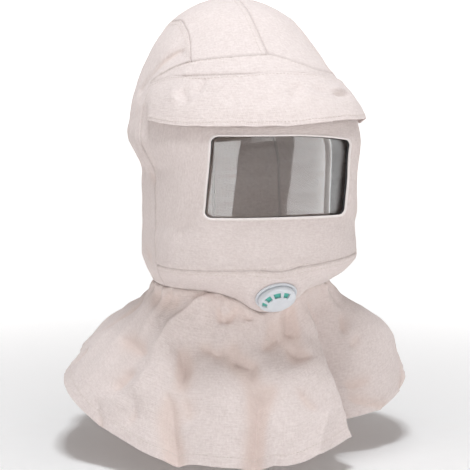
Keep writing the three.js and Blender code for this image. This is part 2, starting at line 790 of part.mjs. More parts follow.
add('crown_panel_left', crownPanel(-1), 'canvas');
add('crown_panel_right', crownPanel(1), 'canvas');
add('side_panel_left', sidePanel(-1), 'canvas');
add('side_panel_right', sidePanel(1), 'canvas');
add('brow_panel', browPanel(), 'canvas');
add('brow_flap', browFlap(), 'canvas');
add('face_panel', facePanel(), 'canvas');
add('chin_panel', piercedChin(), 'canvas');
add('cape', cape(), 'canvas');
add('window_binding', windowRing({
  grow: -fitGap, rim: bindingWidth, lift: bindingProud, wall: bindingProud + clothWall,
}), 'canvas');
add('window_seal', windowRing({
  grow: visorOverlap, rim: visorOverlap + sealShow, lift: -clothWall - sheetGap, wall: sealWall,
}), 'seal');
add('visor', visor(), 'visor');
add('valve_base', valveBase(), 'plastic');
add('valve_disc', valveDisc(), 'disc');
add('valve_cap', valveCap(), 'plastic');

export default hood;
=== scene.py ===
"""Sandblasting hood: sewn canvas panels, a clear window, an exhalation valve and a shoulder cape.

Surfaces are worked out in millimetres in the model's own frame, +Z up and the front towards -Y, and are
turned into metres when a mesh is made.
"""
import math

import bpy
import numpy as np
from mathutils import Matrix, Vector


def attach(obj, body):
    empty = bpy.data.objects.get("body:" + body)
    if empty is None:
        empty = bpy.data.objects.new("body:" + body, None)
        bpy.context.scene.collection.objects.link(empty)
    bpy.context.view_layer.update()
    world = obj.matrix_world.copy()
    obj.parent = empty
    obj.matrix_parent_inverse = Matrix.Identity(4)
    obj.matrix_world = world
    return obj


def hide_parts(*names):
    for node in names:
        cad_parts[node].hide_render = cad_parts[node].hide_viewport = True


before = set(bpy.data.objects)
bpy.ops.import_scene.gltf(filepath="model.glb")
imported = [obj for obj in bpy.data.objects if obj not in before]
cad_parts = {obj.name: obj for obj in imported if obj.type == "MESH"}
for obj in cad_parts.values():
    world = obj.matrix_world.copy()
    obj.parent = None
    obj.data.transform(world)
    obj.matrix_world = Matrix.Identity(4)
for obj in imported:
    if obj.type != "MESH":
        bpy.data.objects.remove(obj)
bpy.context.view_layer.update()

MM = 0.001
rng = np.random.default_rng(7)

# Sizes, in millimetres
CLOTH = 1.8
HEAD_MIDDLE = np.array([0, -15, -150])
HOOD_HEIGHT = 296
HALF_WIDTH = 112
FRONT_REACH = 162
BACK_REACH = 89
NECK_DIP = 22
NECK_DIP_SPREAD = 24
SIDE_SEAM = 76
SIDE_SWING = 5
SWING_END = 1.8
SWING_SPAN = 0.5
CAPE_DROP = 166
CAPE_REACH = 200
WINDOW_WIDTH = 146
WINDOW_HEIGHT = 82
WINDOW_TOP = 137
WINDOW_SLOPE = 6
WINDOW_LEAN = 4.5
WINDOW_CORNER = 8
ROLL_MIDDLE = -0.9
ROLL_WIDTH = 2.4
ROLL_HEIGHT = 2.6
ROLL_SINK = -0.6
OUTLINE_STEP = 1.2
VISOR_MARGIN = 8
VISOR_DEPTH = 4.5
VISOR_WALL = 1.0
NECK_LEVEL = 3
CHIN_LEVEL = 2.7
BROW_REACH = 0.23

FLAP_GAP = 3.5
FLAP_LIFT = 4.5
FLAP_FLARE = 8
FLARE_COLUMN = 1.2
FLAP_LEFT_TOP = 1.93
FLAP_LEFT_HEM = 1.77
FLAP_WALL = 2.0
FLAP_END_FADE = 9

VALVE_LEVEL = 2.9
VALVE_TILT = math.radians(47)
FIT = 0.3
FLANGE = 42
FLANGE_WALL = 2.4
THROAT = 28
THROAT_WALL = 1.6
THROAT_DEPTH = 6
CAP = 37
CAP_HEIGHT = 10
CAP_WALL = 1.8
CAP_FACE = 21
CAP_FLANK = 5
CAP_EDGE = 1.2
SLOT_RADIUS = 14.1
SLOT_WIDTH = 4.4
SLOT_ARC = 28
SLOT_PITCH = 40
SLOT_COUNT = 4
SLOT_TURN = 38
VALVE_BLEND = 16

# Seams: depth and width of the groove, then the band of turned-in cloth and the reach of the puckers
GROOVE_DEPTH = 0.9
GROOVE_WIDTH = 0.7
FELL_HEIGHT = 0.18
FELL_WIDTH = 8.0
PUCKER_DEPTH = 0.28
PUCKER_REACH = 7.5
# Width of the painted shade along the seams
SEAM_SHADE = 1.0

# Gathers of the cape below the neck seam
GATHER_DEPTH = 2.2
GATHER_PITCH = 19.0
GATHER_REACH = 34
# Reach of the painted shade below the neck seam
NECK_SHADE_REACH = 30


def table(columns, *rows):
    """A short table as one array for each named column."""
    return {name: np.array(values, float) for name, values in zip(columns.split(), zip(*rows))}


# The hood at levels from the crown, 0, to the neck seam, 3. Lengths are shares of its height, half width
# and reaches. Powers say how square a section's corners are.
SECTIONS = table(
    "level drop width front back widest front_power back_power",
    (0.00, 0.000, 0.000, -0.074, 0.135, -0.074, 2.00, 2.0),
    (0.25, 0.020, 0.266, 0.086, 0.410, -0.074, 2.00, 2.0),
    (0.50, 0.060, 0.476, 0.259, 0.650, -0.074, 2.05, 2.1),
    (0.75, 0.127, 0.656, 0.426, 0.830, -0.068, 2.05, 2.2),
    (1.00, 0.206, 0.785, 0.611, 0.945, -0.056, 2.10, 2.2),
    (1.30, 0.311, 0.908, 0.840, 0.985, -0.025, 2.25, 2.3),
    (1.60, 0.419, 0.986, 0.975, 0.978, 0.012, 2.45, 2.3),
    (1.80, 0.497, 1.006, 1.000, 0.925, 0.062, 2.55, 2.3),
    (2.00, 0.608, 0.930, 0.975, 0.850, 0.173, 2.80, 2.3),
    (2.40, 0.767, 0.938, 0.926, 0.820, 0.204, 2.80, 2.3),
    (2.70, 0.892, 0.942, 0.901, 0.815, 0.204, 2.70, 2.3),
    (2.85, 0.942, 0.902, 0.827, 0.780, 0.185, 2.50, 2.2),
    (3.00, 1.000, 0.813, 0.605, 0.697, 0.123, 2.20, 2.1),
)

# Levels of the front's seams and of the flap's edges, at angles from the front.
FRONT_SEAMS = table(
    "angle crown brow flap hem chin",
    (-72, 1.28, 1.330, 1.34, 1.640, 2.775),
    (-60, 1.19, 1.270, 1.28, 1.645, 2.775),
    (-49, 1.12, 1.235, 1.24, 1.665, 2.775),
    (-35, 1.07, 1.215, 1.25, 1.685, 2.765),
    (-18, 1.04, 1.205, 1.24, 1.684, 2.750),
    (0, 1.02, 1.200, 1.21, 1.680, 2.740),
    (14, 1.10, 1.206, 1.22, 1.650, 2.725),
    (24, 1.16, 1.226, 1.24, 1.640, 2.710),
    (43, 1.20, 1.266, 1.28, 1.640, 2.680),
    (72, 1.28, 1.340, 1.35, 1.680, 2.660),
)

# The seam between a crown panel and a side panel, from the brow to the neck.
CROWN_SEAM = table(
    "along angle level",
    (0.00, 41, 1.09),
    (0.08, 47, 0.89),
    (0.16, 57, 0.73),
    (0.26, 75, 0.62),
    (0.36, 96, 0.62),
    (0.47, 118, 0.76),
    (0.58, 132, 1.05),
    (0.70, 138, 1.50),
    (0.85, 140, 2.25),
    (1.00, 140, 3.00),
)

# The cape's three rings at angles, as shares of its reach and its drop.
CAPE_FOLDS = table(
    "angle top_reach top_drop mid_reach mid_drop hem_reach hem_drop",
    (-180, 0.500, 0.096, 0.710, 0.398, 0.840, 0.819),
    (-156, 0.530, 0.096, 0.800, 0.325, 0.950, 0.687),
    (-140, 0.550, 0.108, 0.830, 0.337, 0.990, 0.530),
    (-126, 0.510, 0.125, 0.770, 0.386, 0.915, 0.608),
    (-108, 0.510, 0.155, 0.765, 0.415, 0.910, 0.614),
    (-90, 0.530, 0.193, 0.745, 0.470, 0.910, 0.675),
    (-76, 0.540, 0.241, 0.725, 0.566, 0.855, 0.795),
    (-62, 0.540, 0.277, 0.690, 0.627, 0.800, 0.892),
    (-50, 0.540, 0.313, 0.670, 0.639, 0.775, 0.960),
    (-34, 0.530, 0.325, 0.650, 0.651, 0.735, 0.995),
    (-20, 0.530, 0.325, 0.670, 0.651, 0.760, 1.000),
    (-12, 0.530, 0.325, 0.660, 0.651, 0.745, 1.000),
    (-4, 0.530, 0.325, 0.680, 0.651, 0.785, 0.996),
    (6, 0.530, 0.313, 0.690, 0.639, 0.800, 0.975),
    (20, 0.540, 0.265, 0.675, 0.578, 0.780, 0.925),
    (29, 0.530, 0.229, 0.665, 0.536, 0.785, 0.885),
    (36, 0.450, 0.190, 0.540, 0.520, 0.640, 0.880),
    (44, 0.440, 0.165, 0.480, 0.490, 0.600, 0.870),
    (62, 0.530, 0.145, 0.700, 0.430, 0.790, 0.810),
    (82, 0.600, 0.140, 0.840, 0.340, 0.955, 0.655),
    (110, 0.580, 0.115, 0.860, 0.310, 1.000, 0.552),
    (140, 0.540, 0.085, 0.770, 0.345, 0.920, 0.687),
    (180, 0.500, 0.096, 0.710, 0.398, 0.840, 0.819),
)

# The cape's main folds between two places. Depth and width are shares of its reach.
CAPE_FOLD_LINES = table(
    "angle share to_angle to_share depth width",
    (-42, 0.06, -57, 0.52, 0.032, 0.070),
    (-84, 0.10, -48, 0.14, -0.024, 0.070),
    (-46, 0.34, -44, 0.56, -0.024, 0.060),
    (-76, 0.88, -54, 0.66, 0.022, 0.070),
    (-52, 0.68, -42, 1.00, -0.022, 0.060),
    (-21, 0.38, -8, 0.62, -0.018, 0.060),
    (-8, 0.62, -12, 1.00, -0.024, 0.060),
    (16, 0.12, 13, 0.44, -0.024, 0.060),
)

# Folds of the hood between two places, each an angle and a level, as shares of its half width.
HOOD_FOLDS = table(
    "angle level to_angle to_level depth width",
    (-86, 1.36, -52, 1.01, -0.030, 0.050),
    (-80, 1.55, -84, 1.90, 0.030, 0.110),
    (-66, 1.58, -70, 1.95, -0.026, 0.070),
    (-72, 2.42, -44, 2.42, -0.016, 0.070),
    (70, 1.75, 76, 2.30, -0.024, 0.080),
    (118, 2.30, 162, 2.20, -0.030, 0.100),
    (-124, 2.40, -160, 2.24, -0.028, 0.100),
    (150, 2.70, -150, 2.72, -0.024, 0.080),
)

# Finer creases: depth and width in millimetres, then the places that the crease runs through.
HOOD_CREASES = (
    (-2.6, 3, (-43, 0.94), (-56, 1.00), (-67, 1.11), (-80, 1.30)),
    (1.8, 4, (-46, 0.89), (-58, 0.93), (-70, 1.05)),
    (-1.4, 5, (-62, 0.88), (-50, 0.96)),
    (-1.5, 5, (-84, 1.56), (-83, 1.34)),
    (-1.2, 9, (-38, 0.72), (-22, 0.85)),
    (-2.4, 5, (-88, 1.96), (-80, 2.03), (-74, 2.07), (-71, 2.18)),
    (-1.8, 5, (-90, 1.90), (-95, 2.04)),
    (-1.8, 5, (-38, 2.33), (-50, 2.42), (-61, 2.52)),
    (-1.2, 4, (-48, 2.42), (-51, 2.56)),
    (-2.2, 7, (-101, 2.60), (-86, 2.72), (-80, 2.88)),
    (2.4, 13, (-94, 1.58), (-103, 1.80), (-112, 1.92)),
    (-1.6, 5, (-88, 1.64), (-78, 1.49)),
    (-1.4, 6, (44, 2.30), (56, 2.44), (66, 2.52)),
    (-1.8, 7, (82, 1.50), (88, 1.80), (96, 2.05)),
    (-1.6, 6, (100, 1.30), (112, 1.62), (114, 1.92)),
    (-1.8, 8, (158, 1.30), (172, 1.62), (-176, 1.98)),
    (-1.6, 7, (-150, 1.40), (-161, 1.76), (-168, 2.06)),
    (-1.8, 7, (-118, 1.60), (-124, 1.98), (-140, 2.30)),
    (-1.6, 7, (124, 1.90), (132, 2.26), (150, 2.52)),
    (-1.4, 7, (60, 0.86), (74, 1.02), (86, 1.22)),
)

# The brow flap's own dents and creases.
FLAP_CREASES = (
    (-3.2, 4, (-42, 1.36), (-38, 1.44), (-35, 1.52)),
    (2.0, 5, (-47, 1.34), (-44, 1.43), (-40, 1.50)),
    (-3.0, 4, (-30, 1.27), (-32, 1.35), (-34, 1.45)),
    (-1.8, 3, (-38, 1.25), (-32, 1.27), (-25, 1.29)),
    (-3.6, 5, (9, 1.29), (4, 1.41), (0, 1.52)),
    (2.0, 6, (14, 1.31), (9, 1.43), (5, 1.53)),
    (-2.4, 5, (8, 1.35), (14, 1.38), (20, 1.40)),
    (-5.0, 4, (17, 1.42), (25, 1.43), (39, 1.44)),
    (3.0, 4, (18, 1.37), (26, 1.37), (37, 1.39)),
    (2.2, 5, (20, 1.49), (28, 1.49), (38, 1.50)),
    (-2.0, 5, (-12, 1.52), (-6, 1.45), (-1, 1.38)),
    (-1.8, 7, (-22, 1.32), (-18, 1.56)),
)

# Creases of the cape. Each place is an angle and a share of the way from the neck seam to the hem.
CAPE_CREASES = (
    (8.0, 8, (-38, 0.00), (-47, 0.12), (-57, 0.28), (-61, 0.42), (-61, 0.56)),
    (5.2, 9, (-60, 0.50), (-63, 0.63), (-68, 0.74)),
    (-8.0, 6, (-56, 0.28), (-49, 0.40), (-45, 0.48), (-45, 0.55), (-49, 0.58)),
    (-4.8, 4, (-74, 0.10), (-57, 0.02), (-45, 0.01)),
    (-6.4, 4, (-35, 0.02), (-32, 0.10), (-28, 0.22)),
    (-6.4, 4, (-21, 0.00), (-24, 0.10), (-27, 0.20)),
    (4.0, 4, (-28, 0.00), (-28, 0.12)),
    (-4.4, 4, (-15, 0.00), (-12, 0.14)),
    (-6.0, 6, (6, 0.03), (4, 0.29), (-8, 0.40)),
    (-7.2, 8, (-94, 0.52), (-75, 0.46), (-61, 0.48)),
    (-5.6, 8, (-76, 0.80), (-72, 0.61), (-66, 0.53)),
    (-4.8, 6, (-79, 0.84), (-73, 1.00)),
    (-4.4, 6, (-65, 0.64), (-62, 0.79), (-63, 0.94)),
    (-6.4, 6, (-54, 0.55), (-47, 0.71), (-45, 0.84), (-42, 1.00)),
    (-4.0, 8, (-42, 0.60), (-37, 0.80)),
    (-5.2, 5, (-43, 0.32), (-28, 0.38), (-22, 0.33)),
    (-6.4, 5, (-22, 0.26), (-18, 0.41), (-10, 0.46), (-10, 0.60)),
    (-4.8, 5, (-10, 0.67), (-4, 0.61), (2, 0.54)),
    (-8.0, 5, (-10, 0.56), (-8, 0.65), (-9, 0.78), (-11, 1.00)),
    (4.4, 7, (-3, 0.68), (-3, 0.86), (-5, 1.00)),
    (-4.4, 6, (7, 0.56), (13, 0.71), (20, 0.82)),
    (4.8, 7, (26, 0.78), (19, 0.85), (11, 1.00)),
    (-5.2, 4, (9, 0.36), (16, 0.45), (25, 0.52)),
    (-8.0, 6, (24, 0.02), (17, 0.12), (15, 0.25), (21, 0.38)),
    (5.2, 7, (30, 0.08), (27, 0.28), (30, 0.46)),
    (-6.0, 6, (45, 0.14), (41, 0.33), (48, 0.50)),
    (-5.2, 5, (63, 0.38), (57, 0.58)),
    (-4.4, 5, (64, 0.58), (56, 0.65)),
    (-6.0, 5, (50, 0.81), (55, 0.83), (63, 0.84)),
    (-6.0, 5, (50, 0.87), (56, 0.92), (64, 1.00)),
    (-6.4, 7, (77, 0.74), (82, 0.92), (74, 1.00)),
    (-6.0, 6, (-105, 0.90), (-106, 0.68)),
    (-6.8, 9, (104, 0.06), (112, 0.40), (118, 1.00)),
    (-6.0, 8, (138, 0.04), (146, 0.46), (150, 0.92)),
    (-6.8, 9, (172, 0.05), (-178, 0.44), (-172, 1.00)),
    (-6.0, 8, (-130, 0.06), (-140, 0.48), (-146, 0.96)),
    (4.8, 10, (-160, 0.10), (-162, 0.60)),
    (5.2, 10, (124, 0.14), (130, 0.64)),
    (-5.6, 7, (-112, 0.08), (-108, 0.42), (-116, 0.70)),
)
CREASE_ROUND = 1.8
CREASE_FADE = 0.4
CREASE_START = 0.1
# Crease depths at which the painted shade in the creases is full
HOOD_SHADE_DEPTH = 4
CAPE_SHADE_DEPTH = 6


def curve(rows, key, column, x, flat_start=False):
    """A smooth curve through a table's column that never overshoots its rows."""
    xs, ys = rows[key], rows[column]
    gaps = np.diff(xs)
    slopes = np.diff(ys) / gaps
    tangents = np.zeros(len(xs))
    tangents[0] = 0 if flat_start else slopes[0]
    tangents[-1] = slopes[-1]
    before, after = slopes[:-1], slopes[1:]
    rising = before * after > 0
    w0, w1 = 2 * gaps[1:] + gaps[:-1], gaps[1:] + 2 * gaps[:-1]
    inner = np.zeros(len(xs) - 2)
    inner[rising] = (w0 + w1)[rising] / (w0[rising] / before[rising] + w1[rising] / after[rising])
    tangents[1:-1] = inner
    x = np.asarray(x, float)
    i = np.clip(np.searchsorted(xs, x, side="right") - 1, 0, len(xs) - 2)
    t = np.clip((x - xs[i]) / gaps[i], 0, 1)
    t2, t3 = t * t, t * t * t
    return (
        (2 * t3 - 3 * t2 + 1) * ys[i]
        + (t3 - 2 * t2 + t) * gaps[i] * tangents[i]
        + (3 * t2 - 2 * t3) * ys[i + 1]
        + (t3 - t2) * gaps[i] * tangents[i + 1]
    )


def mix(a, b, t):
    return a + (b - a) * t


def smooth(t):
    t = np.clip(t, 0, 1)
    return t * t * (3 - 2 * t)


def bump(distance, width):
    return np.exp(-((distance / width) ** 2))


def section(level):
    """The hood's half width, front, back, widest place and corner powers at a level, and its height z."""
    names = [name for name in SECTIONS if name not in ("level", "drop")]
    value = {name: curve(SECTIONS, "level", name, level) for name in names}
    value["z"] = CLOTH - HOOD_HEIGHT * curve(SECTIONS, "level", "drop", level, flat_start=True)
    reaches = {"width": HALF_WIDTH, "front": -FRONT_REACH, "back": BACK_REACH, "widest": -FRONT_REACH}
    for name, reach in reaches.items():
        value[name] = value[name] * reach
    return value


def wrap(angle):
    return (np.asarray(angle, float) + 540) % 360 - 180


def plain_hood(angle, level):
    """A place on the hood before its folds. The angle is in degrees from the front, level 0 is the crown."""
    angle, level = np.broadcast_arrays(np.asarray(angle, float), np.asarray(level, float))
    s = section(level)
    across, along = np.sin(np.radians(angle)), np.cos(np.radians(angle))
    ahead = along >= 0
    power = np.where(ahead, s["front_power"], s["back_power"])
    half = np.where(ahead, s["widest"] - s["front"], s["back"] - s["widest"])
    width = np.maximum(s["width"], 1e-6)
    radius = (np.abs(across / width) ** power + np.abs(along / half) ** power) ** (-1 / power)
    radius = np.where(level <= 1e-6, 0, radius)
    low = np.clip((level - CHIN_LEVEL) / (NECK_LEVEL - CHIN_LEVEL), 0, None) ** 1.3
    dip = NECK_DIP * bump(wrap(angle), NECK_DIP_SPREAD) * low
    return np.stack([radius * across, s["widest"] - radius * along, s["z"] - dip], -1)


VALVE_CENTRE = plain_hood(0, VALVE_LEVEL)
VALVE_AXIS = np.array([0, -math.cos(VALVE_TILT), -math.sin(VALVE_TILT)])


def segment_distance(points, start, end):
    way = end - start
    t = np.clip(((points - start) @ way) / (way @ way), 0, 1)
    return np.linalg.norm(points - start - t[..., None] * way, axis=-1), t


def folds_at(points, folds, place, size):
    """How far a table of folds lifts each point. Depths and widths are shares of a size."""
    total = np.zeros(points.shape[:-1])
    for row in zip(*folds.values()):
        start, end = place(row[0], row[1]), place(row[2], row[3])
        distance, _ = segment_distance(points, start, end)
        total += size * row[4] * bump(distance, size * row[5])
    return total


def creases_at(points, creases, place):
    """How far creases lift each point. A crease fades towards an end, unless it ends on the cape's edge."""
    total = np.zeros(points.shape[:-1])
    for depth, width, *route in creases:
        stops = place(*np.array(route, float).T)
        lengths = np.linalg.norm(np.diff(stops, axis=0), axis=1)
        starts = np.cumsum(lengths) - lengths
        nearest = np.full(total.shape, np.inf)
        along = np.zeros(total.shape)
        for start, end, before, length in zip(stops, stops[1:], starts, lengths):
            distance, share = segment_distance(points, start, end)
            along = np.where(distance < nearest, (before + share * length) / lengths.sum(), along)
            nearest = np.minimum(nearest, distance)
        first, last = (route[k][1] in (0, 1) for k in (0, -1))
        fade = np.maximum(smooth(along / CREASE_FADE), first)
        fade = fade * np.maximum(smooth((1 - along) / CREASE_FADE), last)
        total += depth * fade * np.exp(-(np.hypot(nearest, CREASE_ROUND) - CREASE_ROUND) / width)
    return total


# A cloth surface is never quite even: waves of fixed random directions and lengths.
WAVE_COUNT = 22
WAVES = [
    (
        rng.normal(size=3) * 2 * math.pi / rng.uniform(34, 110),
        rng.uniform(0, 2 * math.pi),
        rng.uniform(0.08, 0.26),
    )
    for _ in range(WAVE_COUNT)
]


def unevenness(points):
    return sum(size * np.sin(points @ way + phase) for way, phase, size in WAVES)


def hood_point(angle, level):
    """A place on the folded hood. It is flat under the valve."""
    point = plain_hood(angle, level)
    level = np.broadcast_to(np.asarray(level, float), point.shape[:-1])
    edge = smooth((NECK_LEVEL - level) / (NECK_LEVEL - CHIN_LEVEL))
    turn = np.radians(np.broadcast_to(np.asarray(angle, float), point.shape[:-1]))
    outward = np.stack([np.sin(turn), -np.cos(turn), np.zeros_like(turn)], -1)
    lift = folds_at(point, HOOD_FOLDS, plain_hood, HALF_WIDTH)
    lift = lift + creases_at(point, HOOD_CREASES, plain_hood) + unevenness(point)
    point = point + outward * (lift * edge * smooth(level / 0.6))[..., None]
    away = point - VALVE_CENTRE
    flat = 1 - smooth((np.linalg.norm(away, axis=-1) - FLANGE / 2 - 3) / VALVE_BLEND)
    return point - VALVE_AXIS * ((away @ VALVE_AXIS) * flat)[..., None]


def chart(angle, level):
    return np.stack([level * np.sin(np.radians(angle)), -level * np.cos(np.radians(angle))], -1)


def unchart(place):
    return np.degrees(np.arctan2(place[..., 0], -place[..., 1])), np.hypot(place[..., 0], place[..., 1])


LEVELS = np.linspace(0, NECK_LEVEL, 1201)
HEIGHTS = section(LEVELS)["z"]


def level_at(z):
    """The level of a height."""
    return np.interp(-np.asarray(z, float), -HEIGHTS, LEVELS)


def angle_across(x, level):
    """The angle of a place on the front that lies x to the right of the middle."""
    s = section(level)
    inside = np.maximum(1 - np.abs(x / s["width"]) ** s["front_power"], 0)
    return np.degrees(np.arctan2(x, (s["widest"] - s["front"]) * inside ** (1 / s["front_power"])))


def side_angle(level):
    return SIDE_SEAM - SIDE_SWING * smooth((SWING_END - level) / SWING_SPAN)


def seams(angle, name):
    return curve(FRONT_SEAMS, "angle", name, np.clip(angle, -72, 72))


def window_angle(column, level):
    """The window's columns lean a little to the left on the way down."""
    share = np.clip((-WINDOW_TOP - section(level)["z"]) / WINDOW_HEIGHT, 0, 1)
    return angle_across(column * WINDOW_WIDTH / 2 - WINDOW_LEAN * share, level)


def front_angle(column, level):
    """Columns of the front: -1 and 1 are the window's upright edges, -2 and 2 the side seams."""
    column, level = np.broadcast_arrays(np.asarray(column, float), np.asarray(level, float))
    inner = window_angle(np.clip(column, -1, 1), level)
    beyond = np.maximum(np.abs(column) - 1, 0)
    return np.where(beyond > 0, mix(inner, np.sign(column) * side_angle(level), beyond), inner)


def seam_level(column, name):
    level = np.full(np.shape(column), 1.5)
    for _ in range(8):
        level = seams(front_angle(column, level), name)
    return level


def window_level(column, share):
    top = -WINDOW_TOP - WINDOW_SLOPE * np.clip(column, 0, 1) ** 2
    return level_at(mix(top, -WINDOW_TOP - WINDOW_HEIGHT, share))


def face_place(column, share):
    """Shares 0 and 1 are the window's top and bottom, -1 the brow seam and 2 the chin seam."""
    column, share = np.broadcast_arrays(np.asarray(column, float), np.asarray(share, float))
    inside = window_level(column, np.clip(share, 0, 1))
    above = mix(inside, seam_level(column, "brow"), -share)
    below = mix(inside, seam_level(column, "chin"), share - 1)
    level = np.where(share < 0, above, np.where(share > 1, below, inside))
    return front_angle(column, level), level


def crown_seam_place(side, along):
    """The crown seam's angles and levels. It starts on the brow seam."""
    angle = curve(CROWN_SEAM, "along", "angle", along)
    level = curve(CROWN_SEAM, "along", "level", along)
    start = seams(side * CROWN_SEAM["angle"][0], "crown") - CROWN_SEAM["level"][0]
    return side * angle, level + start * np.clip(1 - along / 0.1, 0, 1)


def plain_cape(angle, share):
    """The cape before its creases hangs from the neck seam through three rings."""
    angle, share = np.broadcast_arrays(np.asarray(angle, float), np.asarray(share, float))
    turn = wrap(angle)
    across, along = np.sin(np.radians(angle)), np.cos(np.radians(angle))
    neck = CLOTH - HOOD_HEIGHT

    def ring(name):
        reach = CAPE_REACH * curve(CAPE_FOLDS, "angle", name + "_reach", turn)
        drop = CAPE_DROP * curve(CAPE_FOLDS, "angle", name + "_drop", turn)
        return np.stack([reach * across, -reach * along, neck - drop], -1)

    path = [hood_point(angle, NECK_LEVEL), ring("top"), ring("mid"), ring("hem")]
    path = [2 * path[0] - path[1], *path, 2 * path[3] - path[2]]
    scaled = np.clip(share, 0, 1) * 3
    piece = np.minimum(np.floor(scaled).astype(int), 2)
    t = (scaled - piece)[..., None]
    result = np.zeros((*angle.shape, 3))
    for k in range(3):
        a, b, c, d = path[k : k + 4]
        value = 2 * b + (c - a) * t + (2 * a - 5 * b + 4 * c - d) * t**2 + (3 * b - a - 3 * c + d) * t**3
        result = np.where((piece == k)[..., None], 0.5 * value, result)
    return result


def hood_painted_shade(panel, angle, level):
    """Painted shade: a warm, darker colour in the pressed-in creases of a hood panel."""
    pressed = creases_at(plain_hood(angle, level), HOOD_CREASES, plain_hood)
    panel.painted_shade = smooth(-pressed / HOOD_SHADE_DEPTH)
    return panel


def cape_lift(point, share):
    lift = folds_at(point, CAPE_FOLD_LINES, plain_cape, CAPE_REACH)
    lift = lift + creases_at(point, CAPE_CREASES, plain_cape)
    return lift * smooth(share / CREASE_START)


def cape_point(angle, share):
    point = plain_cape(angle, share)
    angle, share = np.broadcast_arrays(np.asarray(angle, float), np.asarray(share, float))
    turn = np.radians(angle)
    outward = np.stack([np.sin(turn), -np.cos(turn), np.ones(angle.shape)], -1) / math.sqrt(2)
    return point + outward * cape_lift(point, share)[..., None]


def row_lengths(points, axis):
    """How far each point lies along its row or column."""
    steps = np.linalg.norm(np.diff(points, axis=axis), axis=2)
    start = np.zeros_like(np.take(steps, [0], axis=axis))
    return np.concatenate([start, np.cumsum(steps, axis=axis)], axis=axis)


def unit(vectors):
    return vectors / np.maximum(np.linalg.norm(vectors, axis=-1, keepdims=True), 1e-9)


class Panel:
    """A piece of cloth as a grid of points on its outer face, in millimetres."""

    def __init__(self, points, loop=False, outward=None):
        self.points = points
        self.loop = loop
        self.painted_shade = np.zeros(points.shape[:2])
        self.normals = self.find_normals()
        if outward is None:
            outward = points - HEAD_MIDDLE
        self.flip = float((self.normals * outward).sum()) < 0
        if self.flip:
            self.normals = -self.normals
        self.down = row_lengths(points, 0)
        closed = np.concatenate([points, points[:, :1]], axis=1) if loop else points
        self.across = row_lengths(closed, 1)

    def find_normals(self):
        if self.loop:
            across = np.roll(self.points, -1, axis=1) - np.roll(self.points, 1, axis=1)
        else:
            across = np.gradient(self.points, axis=1)
        along = np.gradient(self.points, axis=0)
        return unit(np.cross(along, across))

    def from_edge(self, edge):
        """Each point's distance from one edge, along the cloth."""
        across = self.across[:, : self.points.shape[1]]
        return {
            "first": self.down,
            "last": self.down[-1] - self.down,
            "left": across,
            "right": self.across[:, -1:] - across,
        }[edge]

    def lifted(self, lift):
        panel = Panel.__new__(Panel)
        panel.__dict__.update(self.__dict__)
        panel.points = self.points + self.normals * np.asarray(lift)[..., None]
        panel.normals = panel.find_normals() * (-1 if self.flip else 1)
        return panel

    def line(self, edge, distance):
        """Points and normals of a line that keeps its distance from one edge."""
        away = self.from_edge(edge)
        points, normals = self.points, self.normals
        if edge in ("left", "right"):
            away, points, normals = away.T, points.transpose(1, 0, 2), normals.transpose(1, 0, 2)
        if edge in ("last", "right"):
            away, points, normals = away[::-1], points[::-1], normals[::-1]
        n, m = away.shape
        k = np.clip((away < distance).sum(0) - 1, 0, n - 2)
        j = np.arange(m)
        span = np.maximum(away[k + 1, j] - away[k, j], 1e-9)
        t = np.clip((distance - away[k, j]) / span, 0, 1)[:, None]
        place = mix(points[k, j], points[k + 1, j], t)
        return place, unit(mix(normals[k, j], normals[k + 1, j], t))


def ripple(length, seed, spacing=11.0):
    """A wandering wave along a seam, for its puckers."""
    draw = np.random.default_rng(seed)
    return sum(
        np.sin(length * 2 * math.pi / (spacing * f) + draw.uniform(0, 6.28)) * w
        for f, w in ((1.0, 0.5), (1.37, 0.4), (0.73, 0.3), (2.1, 0.3))
    )


def seam_lift(panel, edge, felled, seed):
    """The groove of a seam, the band of turned-in cloth beside it and its puckers."""
    away = panel.from_edge(edge)
    along = panel.across[:, : panel.points.shape[1]] if edge in ("first", "last") else panel.down
    lift = -GROOVE_DEPTH * bump(away, GROOVE_WIDTH) + 0.25 * bump(away - 3, 2.4)
    if felled:
        lift = lift + FELL_HEIGHT * (1 - smooth((away - FELL_WIDTH) / 2.4)) * smooth(away / 1.2)
    return lift + PUCKER_DEPTH * ripple(along, seed) * np.exp(-away / PUCKER_REACH) * smooth(away / 1.5)


def sewn(panel, edges, seed):
    """A panel with seams along its edges: edges maps an edge's name to whether the cloth is felled there."""
    lift = np.zeros(panel.points.shape[:2])
    for k, (edge, felled) in enumerate(edges.items()):
        lift = lift + seam_lift(panel, edge, felled, seed + k)
    return panel.lifted(lift)


def mesh_object(name, vertices, faces):
    mesh = bpy.data.meshes.new(name)
    mesh.from_pydata(vertices, [], faces)
    mesh.polygons.foreach_set("use_smooth", [True] * len(mesh.polygons))
    piece = bpy.data.objects.new(name, mesh)
    bpy.context.scene.collection.objects.link(piece)
    return piece


def object_from(name, vertices, faces, uvs=None, sharp=40):
    """An object from vertices in millimetres, with a flat place for each corner of its faces."""
    piece = mesh_object(name, (np.asarray(vertices) * MM).tolist(), np.asarray(faces).tolist())
    mesh = piece.data
    if uvs is not None:
        layer = mesh.uv_layers.new(name="cloth")
        layer.data.foreach_set("uv", (np.asarray(uvs, float) * MM).astype(np.float32).ravel())
    mesh.validate()
    mesh.set_sharp_from_angle(angle=math.radians(sharp))
    return piece


